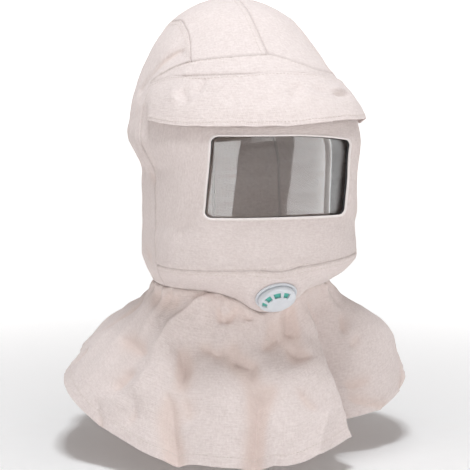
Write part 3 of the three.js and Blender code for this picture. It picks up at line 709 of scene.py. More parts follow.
def cloth(name, panel, wall=CLOTH, keep=None, seam_edges=()):
    """A closed sheet from a panel: its outer face, its inner face and the cut edges between them."""
    n, m = panel.points.shape[:2]
    inner = panel.points - panel.normals * wall
    vertices = np.concatenate([panel.points.reshape(-1, 3), inner.reshape(-1, 3)])
    cells = m if panel.loop else m - 1
    kept = np.ones((n - 1, cells), bool) if keep is None else keep
    ring = np.zeros((n + 1, cells + 2), bool)
    ring[1:n, 1 : cells + 1] = kept
    if panel.loop:
        ring[:, 0], ring[:, -1] = ring[:, cells], ring[:, 1]
    i, j = np.nonzero(kept)
    corners = [(i, j), (i + 1, j), (i + 1, j + 1), (i, j + 1)]
    ids = [a * m + b % m for a, b in corners]
    width = panel.across.shape[1]
    depth = np.broadcast_to(-panel.down.mean(1, keepdims=True), panel.across.shape)
    flat = np.stack([panel.across - panel.across[:, -1:] / 2, depth], -1).reshape(-1, 2)
    uv_ids = [a * width + b for a, b in corners]
    size = n * m
    faces, uv_faces = [], []

    def add(where, order, sides):
        quad = [ids[c][where] + s * size for c, s in zip(order, sides)]
        uv = [uv_ids[c][where] for c in order]
        if panel.flip:
            quad, uv = quad[::-1], uv[::-1]
        faces.append(np.stack(quad, 1))
        uv_faces.append(np.stack(uv, 1))

    everywhere = np.ones(len(i), bool)
    add(everywhere, (0, 1, 2, 3), (0, 0, 0, 0))
    add(everywhere, (3, 2, 1, 0), (1, 1, 1, 1))
    add(~ring[i, j + 1], (0, 3, 3, 0), (0, 0, 1, 1))
    add(~ring[i + 2, j + 1], (2, 1, 1, 2), (0, 0, 1, 1))
    add(~ring[i + 1, j], (1, 0, 0, 1), (0, 0, 1, 1))
    add(~ring[i + 1, j + 2], (3, 2, 2, 3), (0, 0, 1, 1))
    faces, uv_faces = np.concatenate(faces), np.concatenate(uv_faces)
    used, where = np.unique(faces, return_inverse=True)
    piece = object_from(name, vertices[used], where.reshape(faces.shape), flat[uv_faces].reshape(-1, 2))
    # Masks for the canvas's painted shade: along the seam grooves, and in the creases
    away = np.full((n, m), np.inf)
    for edge in seam_edges:
        away = np.minimum(away, panel.from_edge(edge))
    for label, values in (("seam", bump(away, SEAM_SHADE)), ("painted_shade", np.clip(panel.painted_shade, 0, 1))):
        attribute = piece.data.attributes.new(label, "FLOAT", "POINT")
        attribute.data.foreach_set("value", np.tile(values.ravel(), 2)[used].astype(np.float32))
    return piece


def crown_panel(side, rows=150, columns=56):
    along = np.linspace(0, 1, rows)
    seam = chart(*crown_seam_place(side, along))
    front_seam, back_seam = seam[0], seam[-1]
    ratio = np.where(seam[:, 1] < 0, -seams(0, "crown") / front_seam[1], NECK_LEVEL / back_seam[1])
    middle = seam[:, 1] * ratio
    ahead = smooth(1 - along / 0.1)[:, None]
    behind = smooth((along - 0.5) / 0.5)[:, None]
    t = np.linspace(0, 1, columns)[None]
    place = np.stack([seam[:, :1] * t, mix(middle[:, None], seam[:, 1:], t)], -1)
    angle, reach = unchart(place)
    front = chart(0, seams(0, "crown")) * (1 - t.T) + front_seam * t.T
    brow, straight = unchart(front)
    rounded = mix(np.abs(middle)[:, None], np.hypot(*seam.T)[:, None], t)
    level = mix(reach, rounded, behind) * mix(1, (seams(brow, "crown") / straight)[None], ahead)
    return Panel(hood_point(angle, level))


def side_panel(side, rows=150, columns=60):
    along = np.linspace(0.004, 1, rows)
    start = seam_level(np.array(2.0 * side), "crown")
    share = np.clip(along / BROW_REACH, 0, 1)
    fall = np.clip((along - BROW_REACH) / (1 - BROW_REACH), 0, 1)
    brow_angle = mix(CROWN_SEAM["angle"][0], side_angle(start), share)
    level = np.where(along < BROW_REACH, seams(side * brow_angle, "crown"), mix(start, NECK_LEVEL, fall))
    angle = np.where(along < BROW_REACH, brow_angle, side_angle(level)) * side
    back_angle, back_level = crown_seam_place(side, along)
    u = np.linspace(0, 1, columns)[None]
    angle = mix(angle[:, None], back_angle[:, None], u)
    level = mix(level[:, None], back_level[:, None], u)
    return hood_painted_shade(Panel(hood_point(angle, level)), angle, level)


def brow_panel(rows=14, columns=220):
    u = np.linspace(-1, 1, columns)
    end = side_angle(seam_level(np.array(2.0), "crown"))
    crown = np.stack([u * end, seams(u * end, "crown")], -1)
    level = seam_level(2 * u, "brow")
    brow = np.stack([front_angle(2 * u, level), level], -1)
    t = np.linspace(0, 1, rows)[:, None, None]
    place = mix(crown[None], brow[None], t)
    return Panel(hood_point(place[..., 0], place[..., 1]))


def window_loop(along_side, up_side):
    """One turn round the window in columns and shares, with round corners."""
    wide, high = WINDOW_WIDTH / 2, WINDOW_HEIGHT / 2
    radius = WINDOW_CORNER
    half = math.sqrt(0.5)

    def side(reach, stand, count):
        u = np.linspace(-1, 1, count, endpoint=False)
        x = u * (reach - radius * (1 - half))
        inside = np.clip((np.abs(x) - (reach - radius)) / radius, 0, 1)
        return x, stand - radius * (1 - np.sqrt(1 - inside**2))

    x, y = side(wide, high, along_side)
    up, out = side(high, wide, up_side)
    loop = np.concatenate([
        np.stack([x, y], -1), np.stack([out, -up], -1), np.stack([-x, -y], -1), np.stack([-out, up], -1),
    ])
    return loop[:, 0] / (WINDOW_WIDTH / 2), 0.5 - loop[:, 1] / WINDOW_HEIGHT


def panel_loop(along_side, up_side):
    """One turn round the face panel's outer edge."""
    u, v = np.linspace(-1, 1, along_side, endpoint=False), np.linspace(-1, 1, up_side, endpoint=False)
    one = np.ones_like
    column = np.concatenate([2 * u, 2 * one(v), -2 * u, -2 * one(v)])
    share = np.concatenate([-one(u), 0.5 + 1.5 * v, 2 * one(u), 0.5 - 1.5 * v])
    return column, share


def face_panel(rows=34, density=(150, 84)):
    inner, outer = window_loop(*density), panel_loop(*density)
    t = np.linspace(0, 1, rows)[:, None]
    column, share = (mix(a[None], b[None], t) for a, b in zip(inner, outer))
    return Panel(hood_point(*face_place(column, share)), loop=True)


def chin_panel(rows=44, columns=200):
    column = np.linspace(-2, 2, columns)[None]
    level = mix(seam_level(column, "chin"), NECK_LEVEL, np.linspace(0, 1, rows)[:, None])
    return Panel(hood_point(front_angle(column, level), level))


def brow_flap(rows=60, columns=260):
    """The flap stops short of the left side seam, where it lies down again, and stands off on the right."""
    column = np.linspace(-2, 2, columns)[None]
    t = np.linspace(0, 1, rows)[:, None]
    end = mix(FLAP_LEFT_TOP, FLAP_LEFT_HEM, t)
    column = np.where(column < -1, -1 + (column + 1) * (end - 1), column)
    level = mix(seam_level(column, "flap"), seam_level(column, "hem"), t)
    angle = front_angle(column, level)
    flare = FLAP_FLARE * smooth((column - FLARE_COLUMN) / (2 - FLARE_COLUMN))
    lift = (FLAP_LIFT + flare) * np.sin(t * math.pi / 2)
    panel = Panel(hood_point(angle, level))
    from_end = panel.from_edge("left")
    crease = creases_at(plain_hood(angle, level), FLAP_CREASES, plain_hood)
    stand_off = (lift + crease * smooth(t / CREASE_START)) * (1 - 0.8 * bump(from_end, FLAP_END_FADE))
    return panel.lifted(FLAP_GAP - 0.5 + stand_off)


def cape(rows=130, columns=640):
    angle = np.linspace(-180, 180, columns, endpoint=False)[None]
    share = np.linspace(0, 1, rows)[:, None]
    points = cape_point(angle, share)
    turn = np.radians(angle + 0 * share)
    outward = np.stack([np.sin(turn), -np.cos(turn), np.full(turn.shape, 0.5)], -1)
    panel = Panel(points, loop=True, outward=outward)
    lift = unevenness(points * 1.3) * 0.9 * smooth(share / 0.2)
    gather = GATHER_DEPTH * ripple(panel.across[:1, :-1], 31, GATHER_PITCH)
    gather = gather * np.exp(-panel.down / GATHER_REACH) * smooth(panel.down / 4)
    panel = panel.lifted(lift + gather)
    pressed = cape_lift(plain_cape(angle, share), share + 0 * angle) + 0.5 * gather
    # Painted shade: darker in the creases and gathers, and in a band below the neck seam, under the chin
    panel.painted_shade = smooth(-pressed / CAPE_SHADE_DEPTH) + 0.5 * np.exp(-panel.down / NECK_SHADE_REACH)
    return panel


def even_points(points, normals, pitch):
    """Places at an even pitch along a line, with the normal and the line's direction at each."""
    length = np.concatenate([[0], np.cumsum(np.linalg.norm(np.diff(points, axis=0), axis=1))])
    count = max(int(length[-1] / pitch), 1)
    at = (np.arange(count) + 0.5) * length[-1] / count

    def along(values, where):
        return np.stack([np.interp(where, length, values[:, k]) for k in range(3)], -1)

    way = along(points, at + STITCH_STEP) - along(points, at - STITCH_STEP)
    return along(points, at), unit(along(normals, at)), unit(way)


# A stitch is a short rounded length of thread: rings of (share of its length, share of its thickness).
STITCH_RINGS = ((-0.5, 0.35), (-0.4, 0.85), (-0.15, 1.0), (0.15, 1.0), (0.4, 0.85), (0.5, 0.35))
STITCH_SIDES = 6
STITCH_STEP = 0.6
STITCH_PITCH = 3.6
STITCH_LENGTH = 2.5
THREAD = 0.8
THREAD_SINK = 0.1


def stitching(name, lines):
    """One mesh of all the stitches on some lines of points and normals."""
    turns = np.arange(STITCH_SIDES) * 2 * math.pi / STITCH_SIDES
    rows = range((len(STITCH_RINGS) - 1) * STITCH_SIDES)
    ring_faces = []
    for a in rows:
        b = a - a % STITCH_SIDES + (a + 1) % STITCH_SIDES
        ring_faces.append((a, b, b + STITCH_SIDES, a + STITCH_SIDES))
    vertices, faces, caps = [], [], []
    base = 0
    last = len(rows)
    for points, normals in lines:
        places, up, way = even_points(points, normals, STITCH_PITCH)
        across = unit(np.cross(way, up))
        up = np.cross(across, way)
        for p, u, w, c in zip(places, up, way, across):
            for share, wide in STITCH_RINGS:
                middle = p + w * share * STITCH_LENGTH + u * (THREAD * 0.5 * (wide - 0.55) - THREAD_SINK)
                vertices.append(
                    middle
                    + np.cos(turns)[:, None] * c * THREAD * 0.5 * wide
                    + np.sin(turns)[:, None] * u * THREAD * 0.42 * wide
                )
            faces.extend([[base + k for k in f] for f in ring_faces])
            caps.append([base + k for k in range(STITCH_SIDES)][::-1])
            caps.append([base + last + k for k in range(STITCH_SIDES)])
            base += last + STITCH_SIDES
    return mesh_object(name, (np.concatenate(vertices) * MM).tolist(), faces + caps)


class Value:
    """A shader value that takes part in Python sums."""

    def __init__(self, finish, socket):
        self.finish = finish
        self.socket = socket

    def math(self, operation, other):
        return self.finish.node("ShaderNodeMath", {"operation": operation}, {0: self, 1: other})

    def __add__(self, other):
        return self.math("ADD", other)

    __radd__ = __add__

    def __mul__(self, other):
        return self.math("MULTIPLY", other)

    __rmul__ = __mul__


class Finish:
    """A material and its nodes."""

    def __init__(self, name):
        self.material = bpy.data.materials.new(name)
        self.material.use_nodes = True
        self.tree = self.material.node_tree
        self.tree.nodes.clear()

    def node(self, kind, settings=None, sockets=None, out=0):
        """A node with its settings, then the values or links of its sockets. Gives one of its outputs."""
        node = self.tree.nodes.new(kind)
        for key, value in (settings or {}).items():
            setattr(node, key, value)
        for key, value in (sockets or {}).items():
            socket = node.inputs[key]
            if isinstance(value, Value):
                self.tree.links.new(value.socket, socket)
            else:
                socket.default_value = value
        return Value(self, node.outputs[out])

    def noise(self, vector, scale, detail=2.0, roughness=0.5):
        return self.node(
            "ShaderNodeTexNoise", {},
            {"Vector": vector, "Scale": scale, "Detail": detail, "Roughness": roughness},
        )

    def stretched(self, vector, scales):
        return self.node("ShaderNodeMapping", {}, {"Vector": vector, "Scale": scales})

    def ranged(self, value, low, high, to_low=0.0, to_high=1.0):
        return self.node(
            "ShaderNodeMapRange", {"clamp": True},
            {"Value": value, "From Min": low, "From Max": high, "To Min": to_low, "To Max": to_high},
        )

    def colour_mix(self, factor, a, b):
        return self.node("ShaderNodeMix", {"data_type": "RGBA"}, {0: factor, 6: a, 7: b}, out=2)

    def bump(self, height, distance, strength):
        sockets = {"Height": height, "Distance": distance, "Strength": strength}
        return self.node("ShaderNodeBump", {}, sockets)

    def close(self, surface):
        out = self.tree.nodes.new("ShaderNodeOutputMaterial")
        self.tree.links.new(surface.socket, out.inputs["Surface"])
        return self.material


# Colour of the painted shade in the creases of the cloth and below the cape's neck seam
HOLLOW_SHADE_COLOUR = (0.76, 0.60, 0.53, 1)
WEAVE_RELIEF = 0.0004
THREAD_WAVE = {"Scale": 190.0, "Distortion": 0.6, "Detail": 1.0, "Detail Scale": 3.0}


def canvas(name, light, dark, slub=1.0):
    """Slubby plain-weave canvas. Threads run across and down the cut piece."""
    f = Finish(name)
    place = f.node("ShaderNodeUVMap", {"uv_map": "cloth"})
    body = f.node("ShaderNodeTexCoord", out="Object")
    weft = f.noise(f.stretched(place, (120, 640, 1)), 1.0, 3.0, 0.6)
    warp = f.noise(f.stretched(place, (560, 120, 1)), 1.0, 2.0, 0.5)
    fine = f.noise(f.stretched(place, (430, 900, 1)), 1.0, 1.0, 0.5)
    patches = f.noise(body, 14.0, 3.0, 0.55)
    mottle = f.noise(body, 420.0, 2.0, 0.6)
    across, down = (
        f.node("ShaderNodeTexWave", {"bands_direction": way}, {"Vector": place, **THREAD_WAVE})
        for way in ("Y", "X")
    )
    seam, painted_shade = (
        f.node("ShaderNodeAttribute", {"attribute_name": label}, out="Fac") for label in ("seam", "painted_shade")
    )
    streak = f.ranged(weft, 0.3, 0.72)
    beam = f.ranged(warp, 0.3, 0.7)
    grain = streak * 0.42 + beam * 0.18 + f.ranged(mottle, 0.35, 0.65) * 0.32 + fine * 0.1
    colour = f.colour_mix(f.ranged(grain, 0.2, 0.8), (*dark, 1), (*light, 1))
    washed = (*(c * 1.04 for c in light), 1)
    seam_shade_colour = (*(c * 0.72 for c in dark), 1)
    colour = f.colour_mix(f.ranged(patches, 0.35, 0.75, 0.0, 0.22), colour, washed)
    # Painted shade: creases, and the band below the neck seam, are darkened and warmed
    colour = f.colour_mix(painted_shade * 0.45, colour, HOLLOW_SHADE_COLOUR)
    # Painted shade: a darker colour along the seam grooves
    colour = f.colour_mix(seam * 0.55, colour, seam_shade_colour)
    weave = across * 0.5 + down * 0.5
    height = weave * 0.45 + streak * (0.7 * slub) + beam * (0.35 * slub) + fine * 0.25
    return f.close(f.node("ShaderNodeBsdfPrincipled", {}, {
        "Base Color": colour,
        "Roughness": f.ranged(streak, 0, 1, 0.96, 0.86),
        "Sheen Weight": 0.12,
        "Sheen Roughness": 0.6,
        "Specular IOR Level": 0.25,
        "Normal": f.bump(height, WEAVE_RELIEF, 0.8),
    }))


def thread_finish():
    """Twisted cotton thread."""
    f = Finish("sewing_thread")
    body = f.node("ShaderNodeTexCoord", out="Object")
    twist = f.noise(body, 900.0, 2.0)
    colour = f.colour_mix(twist, (0.60, 0.51, 0.47, 1), (0.80, 0.72, 0.68, 1))
    return f.close(f.node("ShaderNodeBsdfPrincipled", {}, {
        "Base Color": colour, "Roughness": 0.7, "Sheen Weight": 0.2, "Normal": f.bump(twist, 0.0001, 0.6),
    }))


def clear_finish():
    """Clear plastic sheet with faint rub marks."""
    f = Finish("clear_sheet")
    body = f.node("ShaderNodeTexCoord", out="Object")
    haze = f.noise(f.stretched(body, (30, 30, 260)), 1.0, 4.0, 0.6)
    edge = f.node("ShaderNodeFresnel", {}, {"IOR": 1.45})
    gloss = f.node("ShaderNodeBsdfPrincipled", {}, {
        "Base Color": (0.95, 0.965, 0.98, 1),
        "Metallic": 1.0,
        "Roughness": f.ranged(haze, 0.4, 0.8, 0.03, 0.10),
    })
    through = f.node("ShaderNodeBsdfTransparent", {}, {"Color": (0.985, 0.975, 0.96, 1)})
    amount = f.ranged(edge + f.ranged(haze, 0.35, 0.8, 0.0, 0.02), 0.0, 1.0, 0.0, 0.9)
    return f.close(f.node("ShaderNodeMixShader", {}, {0: amount, 1: through, 2: gloss}))


def plastic(name, light, dark, roughness, clear=0.0):
    """Moulded plastic or rubber with a faint cloudy tone and a fine grained skin."""
    f = Finish(name)
    body = f.node("ShaderNodeTexCoord", out="Object")
    cloud = f.noise(body, 60.0, 3.0)
    grain = f.noise(body, 1500.0, 2.0)
    colour = f.colour_mix(f.ranged(cloud, 0.3, 0.7), (*dark, 1), (*light, 1))
    return f.close(f.node("ShaderNodeBsdfPrincipled", {}, {
        "Base Color": colour,
        "Roughness": f.ranged(cloud, 0.3, 0.7, roughness * 0.85, roughness * 1.2),
        "Subsurface Weight": clear,
        "Subsurface Radius": (0.004, 0.004, 0.005),
        "Normal": f.bump(grain, 0.00004, 0.4),
    }))


def aim(thing, at):
    thing.rotation_euler = (Vector(at) - thing.location).to_track_quat("-Z", "Y").to_euler()


def direction(azimuth, elevation):
    """Azimuth 0 is in front and 90 on the right."""
    a, e = math.radians(azimuth), math.radians(elevation)
    return Vector((math.sin(a) * math.cos(e), -math.cos(a) * math.cos(e), math.sin(e)))


CAMERA_AZIMUTH = -18.7
CAMERA_ELEVATION = 6
CAMERA_DISTANCE = 1.5
CAMERA_TARGET = Vector((0, 0, -0.249))
SENSOR = 36
FOCAL_SHARE = 1415 / 470


def add_camera():
    data = bpy.data.cameras.new("camera")
    data.sensor_width = SENSOR
    data.lens = SENSOR * FOCAL_SHARE
    data.clip_end = 50
    camera = bpy.data.objects.new("camera", data)
    bpy.context.scene.collection.objects.link(camera)
    camera.location = CAMERA_TARGET + CAMERA_DISTANCE * direction(CAMERA_AZIMUTH, CAMERA_ELEVATION)
    aim(camera, CAMERA_TARGET)
    bpy.context.scene.camera = camera


def area_light(name, location, at, size, power, colour=(1, 1, 1)):
    data = bpy.data.lights.new(name, "AREA")
    data.shape = "RECTANGLE"
    data.size, data.size_y = size
    data.energy = power
    data.color = colour
    light = bpy.data.objects.new(name, data)
    light.location = location
    bpy.context.scene.collection.objects.link(light)
    aim(light, at)


WORLD_COLOUR = (1, 0.93, 0.90, 1)
WORLD_STRENGTH = 0.26
MIDDLE = Vector((0, 0, -0.25))


def soft_box(name, azimuth, elevation, distance, side, power, colour=(1, 1, 1)):
    """A square soft box that faces the hood's middle."""
    location = MIDDLE + distance * direction(azimuth, elevation)
    area_light(name, location, MIDDLE, (side, side), power, colour)


add_camera()
bpy.context.scene.view_settings.view_transform = "Standard"

world = bpy.data.worlds.new("studio")
bpy.context.scene.world = world
world.use_nodes = True
background = world.node_tree.nodes["Background"].inputs
background["Color"].default_value = WORLD_COLOUR
background["Strength"].default_value = WORLD_STRENGTH

soft_box("key", azimuth=-16, elevation=73, distance=1.7, side=0.42, power=20, colour=(0.955, 1.0, 1.035))
soft_box("fill", azimuth=2, elevation=16, distance=2.2, side=0.9, power=3.4)

FLOOR = -0.475
STAGE_FLAT = 4.2
STAGE_RADIUS = 5.0
STAGE_WALL = 1.4
STAGE_HUB = 0.5
STAGE_SIDES = 96
GLOW_NEAR = 0.5
GLOW_FAR = 1.2


def stage_finish():
    """White paper that glows a little more further away, as a lit studio sweep does."""
    f = Finish("stage_paper")
    body = f.node("ShaderNodeTexCoord", out="Object")
    grain = f.noise(body, 40.0, 3.0)
    colour = f.colour_mix(grain, (0.90, 0.89, 0.885, 1), (0.93, 0.925, 0.92, 1))
    away = f.node("ShaderNodeVectorMath", {"operation": "LENGTH"}, {0: body}, out=1)
    glow = f.colour_mix(f.ranged(away, GLOW_NEAR, GLOW_FAR), (0.05, 0.05, 0.05, 1), (0.62, 0.62, 0.62, 1))
    return f.close(f.node("ShaderNodeBsdfPrincipled", {}, {
        "Base Color": colour, "Roughness": 0.9, "Emission Color": glow, "Emission Strength": 1.0,
    }))


def ring_quads(rings, sides, closed=False):
    """Faces between rings of points, the last ring joined to the first where the outline is closed."""
    faces = []
    for ring in range(rings if closed else rings - 1):
        a, b = ring * sides, (ring + 1) % rings * sides
        for k in range(sides):
            ahead = (k + 1) % sides
            faces.append((a + k, a + ahead, b + ahead, b + k))
    return faces


def stage():
    """A round white floor that curves up into a low wall."""
    bend = STAGE_RADIUS - STAGE_FLAT
    profile = [(STAGE_HUB, 0), (STAGE_FLAT, 0)]
    for turn in np.radians(np.linspace(10, 90, 9)):
        profile.append((STAGE_FLAT + bend * math.sin(turn), bend * (1 - math.cos(turn))))
    profile.append((STAGE_RADIUS, STAGE_WALL))
    turns = np.arange(STAGE_SIDES) * 2 * math.pi / STAGE_SIDES
    vertices = [(r * math.cos(t), r * math.sin(t), FLOOR + h) for r, h in profile for t in turns]
    hub = list(range(STAGE_SIDES))
    sides = [face[::-1] for face in ring_quads(len(profile), STAGE_SIDES)]
    floor = mesh_object("floor", vertices, [hub, *sides])
    floor.data.materials.append(stage_finish())


# Canvas colours and finishes
canvas_light = (0.80, 0.715, 0.69)
canvas_dark = (0.68, 0.59, 0.565)
finishes = {
    "canvas": canvas("canvas", canvas_light, canvas_dark),
    "canvas_cape": canvas("canvas_cape", canvas_light, canvas_dark, slub=1.1),
    # Painted highlight: the rolled window edge takes a lighter copy of the canvas
    "roll": canvas("canvas_edge_highlight", (0.86, 0.80, 0.78), (0.80, 0.73, 0.71), slub=0.4),
    "thread": thread_finish(),
    "clear": clear_finish(),
    "seal": plastic("seal_rubber", (0.03, 0.03, 0.032), (0.018, 0.018, 0.02), 0.6),
    "valve": plastic("valve_plastic", (0.72, 0.745, 0.78), (0.66, 0.69, 0.73), 0.38, 0.1),
    "disc": plastic("valve_rubber", (0.13, 0.55, 0.46), (0.10, 0.47, 0.39), 0.5),
}


def place(piece, finish, slot, *nodes):
    piece.data.materials.append(finishes[finish])
    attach(piece, "root")
    if nodes:
        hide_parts(*nodes)
    return piece


stitch_lines = []


def sew(name, node, panel, seed, edges, felled, lines, held, rests_on, **how):
    """A cloth piece sewn along some edges. Lines are the edges that stitches follow and their distances."""
    panel = sewn(panel, {edge: edge in felled for edge in edges}, seed)
    piece = place(cloth(name, panel, seam_edges=edges, **how), "canvas", "canvas", node)
    for edge, distance in lines:
        stitch_lines.append(panel.line(edge, distance))


for end, side, seam_edge, seed in (("left", -1, "left", 11), ("right", 1, "right", 15)):
    sew(
        "crown_" + end, "crown_panel_" + end, crown_panel(side), seed,
        edges=("left", "right", "first", "last"), felled=(seam_edge,),
        lines=[(seam_edge, 2.2), (seam_edge, 6.4)],
        held="stretched", rests_on=["side_panel_" + end, "brow_panel"],
    )
for end, side, felled, lines, seed in (
    ("left", -1, ("right",), [("right", 2.2), ("right", 6.4)], 21),
    ("right", 1, (), [("left", 2.2)], 25),
):
    sew(
        "side_" + end, "side_panel_" + end, side_panel(side), seed,
        edges=("left", "right", "first", "last"), felled=felled, lines=lines,
        held="hung", rests_on=["crown_panel_" + end],
    )
sew(
    "brow_cloth", "brow_panel", brow_panel(), 31,
    edges=("first", "last"), felled=("first",), lines=[("first", 2.0)],
    held="stretched", rests_on=["crown_panel_left"],
)
sew(
    "face_cloth", "face_panel", face_panel(), 35,
    edges=("last",), felled=(), lines=[("last", 2.4)],
    held="hung", rests_on=["brow_panel"],
)
chin = chin_panel()
centres = (chin.points[1:, 1:] + chin.points[:-1, :-1]) / 2
sew(
    "chin_cloth", "chin_panel", chin, 41,
    edges=("first", "left", "right", "last"), felled=("first",),
    lines=[("first", 2.2), ("first", 6.4), ("last", 2.4)],
    held="hung", rests_on=["face_panel"],
    keep=np.linalg.norm(centres - VALVE_CENTRE, axis=-1) > THROAT / 2 + 0.8,
)

flap = brow_flap()
flap_drop = flap.from_edge("last")
flap = flap.lifted(
    0.3 * (1 - smooth((flap_drop - 5) / 1.5))
    + 0.25 * ripple(flap.across, 51, 14) * np.exp(-flap_drop / 9)
)
flap_piece = place(cloth("flap_cloth", flap, FLAP_WALL), "canvas", "canvas", "brow_flap")
stitch_lines.append(flap.line("last", 4.0))
stitch_lines.append(flap.line("first", 2.2))

shoulder = cape()
hem_away = shoulder.from_edge("last")
shoulder = shoulder.lifted(
    -0.9 * bump(shoulder.down, 1.0)
    + 0.2 * (1 - smooth((hem_away - 12) / 2.5))
    + 0.3 * ripple(shoulder.across[-1:, :-1], 61, 13) * np.exp(-hem_away / 10)
)
cape_piece = place(cloth("cape_cloth", shoulder, seam_edges=("first",)), "canvas_cape", "canvas", "cape")
stitch_lines.append(shoulder.line("last", 10.5))
stitch_lines.append(shoulder.line("first", 2.6))


def loft(name, points, normals, outline):
    """A closed loop with an outline of (across, lift) in millimetres, across pointing outwards."""
    way = unit(np.roll(points, -1, 0) - np.roll(points, 1, 0))
    out = np.cross(way, normals)
    if ((points - points.mean(0)) * out).sum() < 0:
        out = -out
    rings = np.stack([points + out * a + normals * b for a, b in outline])
    count, around = rings.shape[:2]
    faces = np.array(ring_quads(count, around, closed=True))
    vertices = rings.reshape(-1, 3)
    first = vertices[faces[0]]
    normal = np.cross(first[1] - first[0], first[2] - first[1])
    if (normal * (first.mean(0) - rings[:, 0].mean(0))).sum() < 0:
        faces = faces[:, ::-1]
    length = np.concatenate([[0], np.cumsum(np.linalg.norm(np.diff(points, axis=0), axis=1))])
    round_it = np.arange(count)[:, None] * OUTLINE_STEP
    flat = np.stack(np.broadcast_arrays(length[None], round_it), -1).reshape(-1, 2)
    return object_from(name, vertices, faces, flat[faces].reshape(-1, 2), sharp=60)


def on_face(column, share):
    """Points and normals of the face at columns and shares."""
    step = 0.004

    def at(c, s):
        return hood_point(*face_place(c, s))

    across = at(column + step, share) - at(column - step, share)
    upwards = at(column, share - step) - at(column, share + step)
    normal = unit(np.cross(across, upwards))
    point = at(column, share)
    return point, normal if (normal * (point - HEAD_MIDDLE)).sum() > 0 else -normal


window_edge = on_face(*window_loop(120, 70))
roll = [
    (ROLL_MIDDLE + ROLL_WIDTH / 2 * math.cos(t), ROLL_SINK + ROLL_HEIGHT / 2 * math.sin(t))
    for t in np.linspace(0, 2 * math.pi, 14, endpoint=False)
]
place(loft("window_roll", *window_edge, roll), "roll", "canvas", "window_binding")

seal_outline = [
    (-1.9, -2.3), (-1.6, -2.0), (7.5, -2.0), (8.0, -2.4),
    (8.0, -3.6), (7.5, -3.9), (-1.6, -3.9), (-1.9, -3.5),
]
place(loft("window_seal_strip", *window_edge, seal_outline), "seal", "seal", "window_seal")

margin_column = 1 + VISOR_MARGIN / (WINDOW_WIDTH / 2)
margin_share = VISOR_MARGIN / WINDOW_HEIGHT
visor_column = np.linspace(-margin_column, margin_column, 90)[None]
visor_share = np.linspace(-margin_share, 1 + margin_share, 50)[:, None]
visor_grid = plain_hood(*face_place(visor_column, visor_share))
visor_panel = Panel(visor_grid).lifted(np.full(visor_grid.shape[:2], -VISOR_DEPTH))
visor = place(cloth("visor_sheet", visor_panel, VISOR_WALL), "clear", "visor", "visor")


STRIP_AWAY = 0.42
STRIP_MIDDLE = -0.27
STRIP_TALL = 0.4


def strip_light(name, azimuth, width, radiance, only):
    """An upright strip that shows as a band on the clear sheet and lights nothing else."""
    window = Vector((0, -FRONT_REACH * MM, 0))
    window.z = STRIP_MIDDLE
    size = (2 * STRIP_AWAY * math.tan(math.radians(width / 2)), STRIP_TALL)
    power = radiance * math.pi * size[0] * size[1]
    area_light(name, window + STRIP_AWAY * direction(azimuth, 0), window, size, power)
    receivers = bpy.data.collections.new(name + "_receivers")
    receivers.objects.link(only)
    bpy.data.objects[name].light_linking.receiver_collection = receivers


strip_light("left_strip", azimuth=-53, width=50, radiance=4.0, only=visor)
strip_light("right_strip", azimuth=41, width=34, radiance=3.2, only=visor)


# The valve
valve_side = np.array([1.0, 0, 0])
valve_up = np.cross(VALVE_AXIS, valve_side)


def turned_rings(profile, sides):
    """Rings about the valve's axis from (radius, height) pairs above the cloth."""
    turns = np.arange(sides) * 2 * math.pi / sides
    spokes = np.cos(turns)[:, None] * valve_side + np.sin(turns)[:, None] * valve_up
    return np.stack([VALVE_CENTRE + r * spokes + h * VALVE_AXIS for r, h in profile])


def turned(name, profile, sides=96):
    """A turned solid from its closed outline."""
    rings = turned_rings(profile, sides)
    return object_from(name, rings.reshape(-1, 3), ring_quads(len(profile), sides, closed=True), sharp=35)


def arc(centre, radius, start, end, count):
    turns = np.radians(np.linspace(start, end, count))
    return [(centre[0] + radius * math.cos(t), centre[1] + radius * math.sin(t)) for t in turns]


flange_top = FIT + FLANGE_WALL
cap_foot = flange_top + FIT
cap_top = cap_foot + CAP_HEIGHT
FLANK_SLOPE = math.atan(CAP_FLANK / (CAP / 2 - CAP_FACE / 2))
bore = THROAT / 2 - THROAT_WALL
throat_foot = -CLOTH - THROAT_DEPTH
flange_profile = [
    (bore, throat_foot), (THROAT / 2, throat_foot), (THROAT / 2, FIT), (FLANGE / 2 - 0.4, FIT),
    *arc((FLANGE / 2 - 0.8, FIT + 0.8), 0.8, -60, 0, 4),
    *arc((FLANGE / 2 - 1.1, flange_top - 1.1), 1.1, 0, 90, 6),
    (CAP / 2 + 0.8, flange_top - 0.25), (CAP / 2, flange_top - 0.3), (bore, flange_top - 0.3),
]
place(turned("valve_flange", flange_profile[::-1]), "valve", "valve_plastic", "valve_base")


def flank(radius, wall=0.0):
    """The height of the cap's slanted flank at a radius, moved inwards by a wall."""
    return cap_top - (radius - CAP_FACE / 2) * math.tan(FLANK_SLOPE) - wall / math.cos(FLANK_SLOPE)


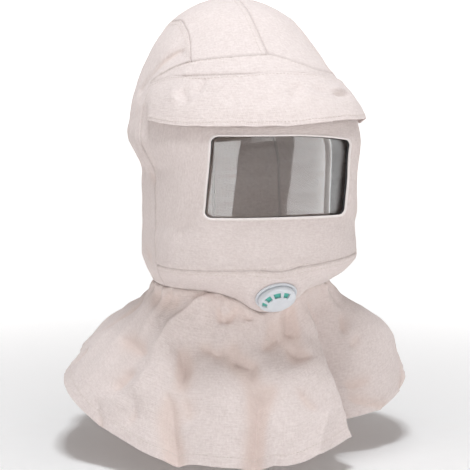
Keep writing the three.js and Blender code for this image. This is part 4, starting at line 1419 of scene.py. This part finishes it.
def valve_cap(sides=180):
    """The cap: a turned shell with a ring of slots in its flank, their cells left out and walled."""
    inner, outer = SLOT_RADIUS - SLOT_WIDTH / 2, SLOT_RADIUS + SLOT_WIDTH / 2
    face = [(r, cap_top + 0.3 * bump(r, 5)) for r in (0.05, 1.5, 3, 4.5, 6, 8, 9.3)]
    edge, rim_radius = 0.35 * CAP_EDGE, CAP / 2
    bend = [(CAP_FACE / 2 - edge, cap_top), (CAP_FACE / 2 + edge, flank(CAP_FACE / 2 + edge))]
    above = [*face, *bend, (inner - 0.4, flank(inner - 0.4))]
    slot_rows = [(r, flank(r)) for r in (inner, inner + 1.2, SLOT_RADIUS, outer - 1.2, outer)]
    rim = [
        (outer + 0.5, flank(outer + 0.5)),
        (rim_radius - 0.9, flank(rim_radius - 0.9)),
        (rim_radius - 0.25, flank(rim_radius - 0.2) - 0.15),
        (rim_radius, flank(rim_radius) - 0.8),
        (rim_radius, mix(cap_foot, flank(rim_radius), 0.4)),
        (rim_radius, cap_foot + 0.4),
        (rim_radius - 0.2, cap_foot),
    ]
    profile = [*above, *slot_rows, *rim]
    points = turned_rings(profile, sides)
    panel = Panel(points, loop=True, outward=points - VALVE_CENTRE)
    keep = np.ones((len(profile) - 1, sides), bool)
    degrees_at = (np.arange(sides) + 0.5) * 360 / sides
    for k in range(SLOT_COUNT):
        middle = (k - (SLOT_COUNT - 1) / 2) * SLOT_PITCH + 90 + SLOT_TURN
        inside = np.abs((degrees_at - middle + 180) % 360 - 180) < SLOT_ARC / 2
        keep[len(above):len(above) + len(slot_rows) - 1, inside] = False
    return cloth("valve_cover", panel, CAP_WALL, keep=keep)


place(valve_cap(), "valve", "valve_plastic", "valve_cap")
disc_radius = SLOT_RADIUS + SLOT_WIDTH / 2
under = CAP_WALL + FIT
disc_face = CAP_FACE / 2 - under * math.tan(FLANK_SLOPE / 2)
disc_profile = [
    (0.05, cap_foot), (disc_radius, cap_foot), (disc_radius, flank(disc_radius, under)),
    (disc_face, cap_top - under), (0.05, cap_top - under),
]
place(turned("valve_flap_disc", disc_profile[::-1]), "disc", "valve_disc", "valve_disc")

place(stitching("stitching", stitch_lines), "thread", "canvas")

stage()
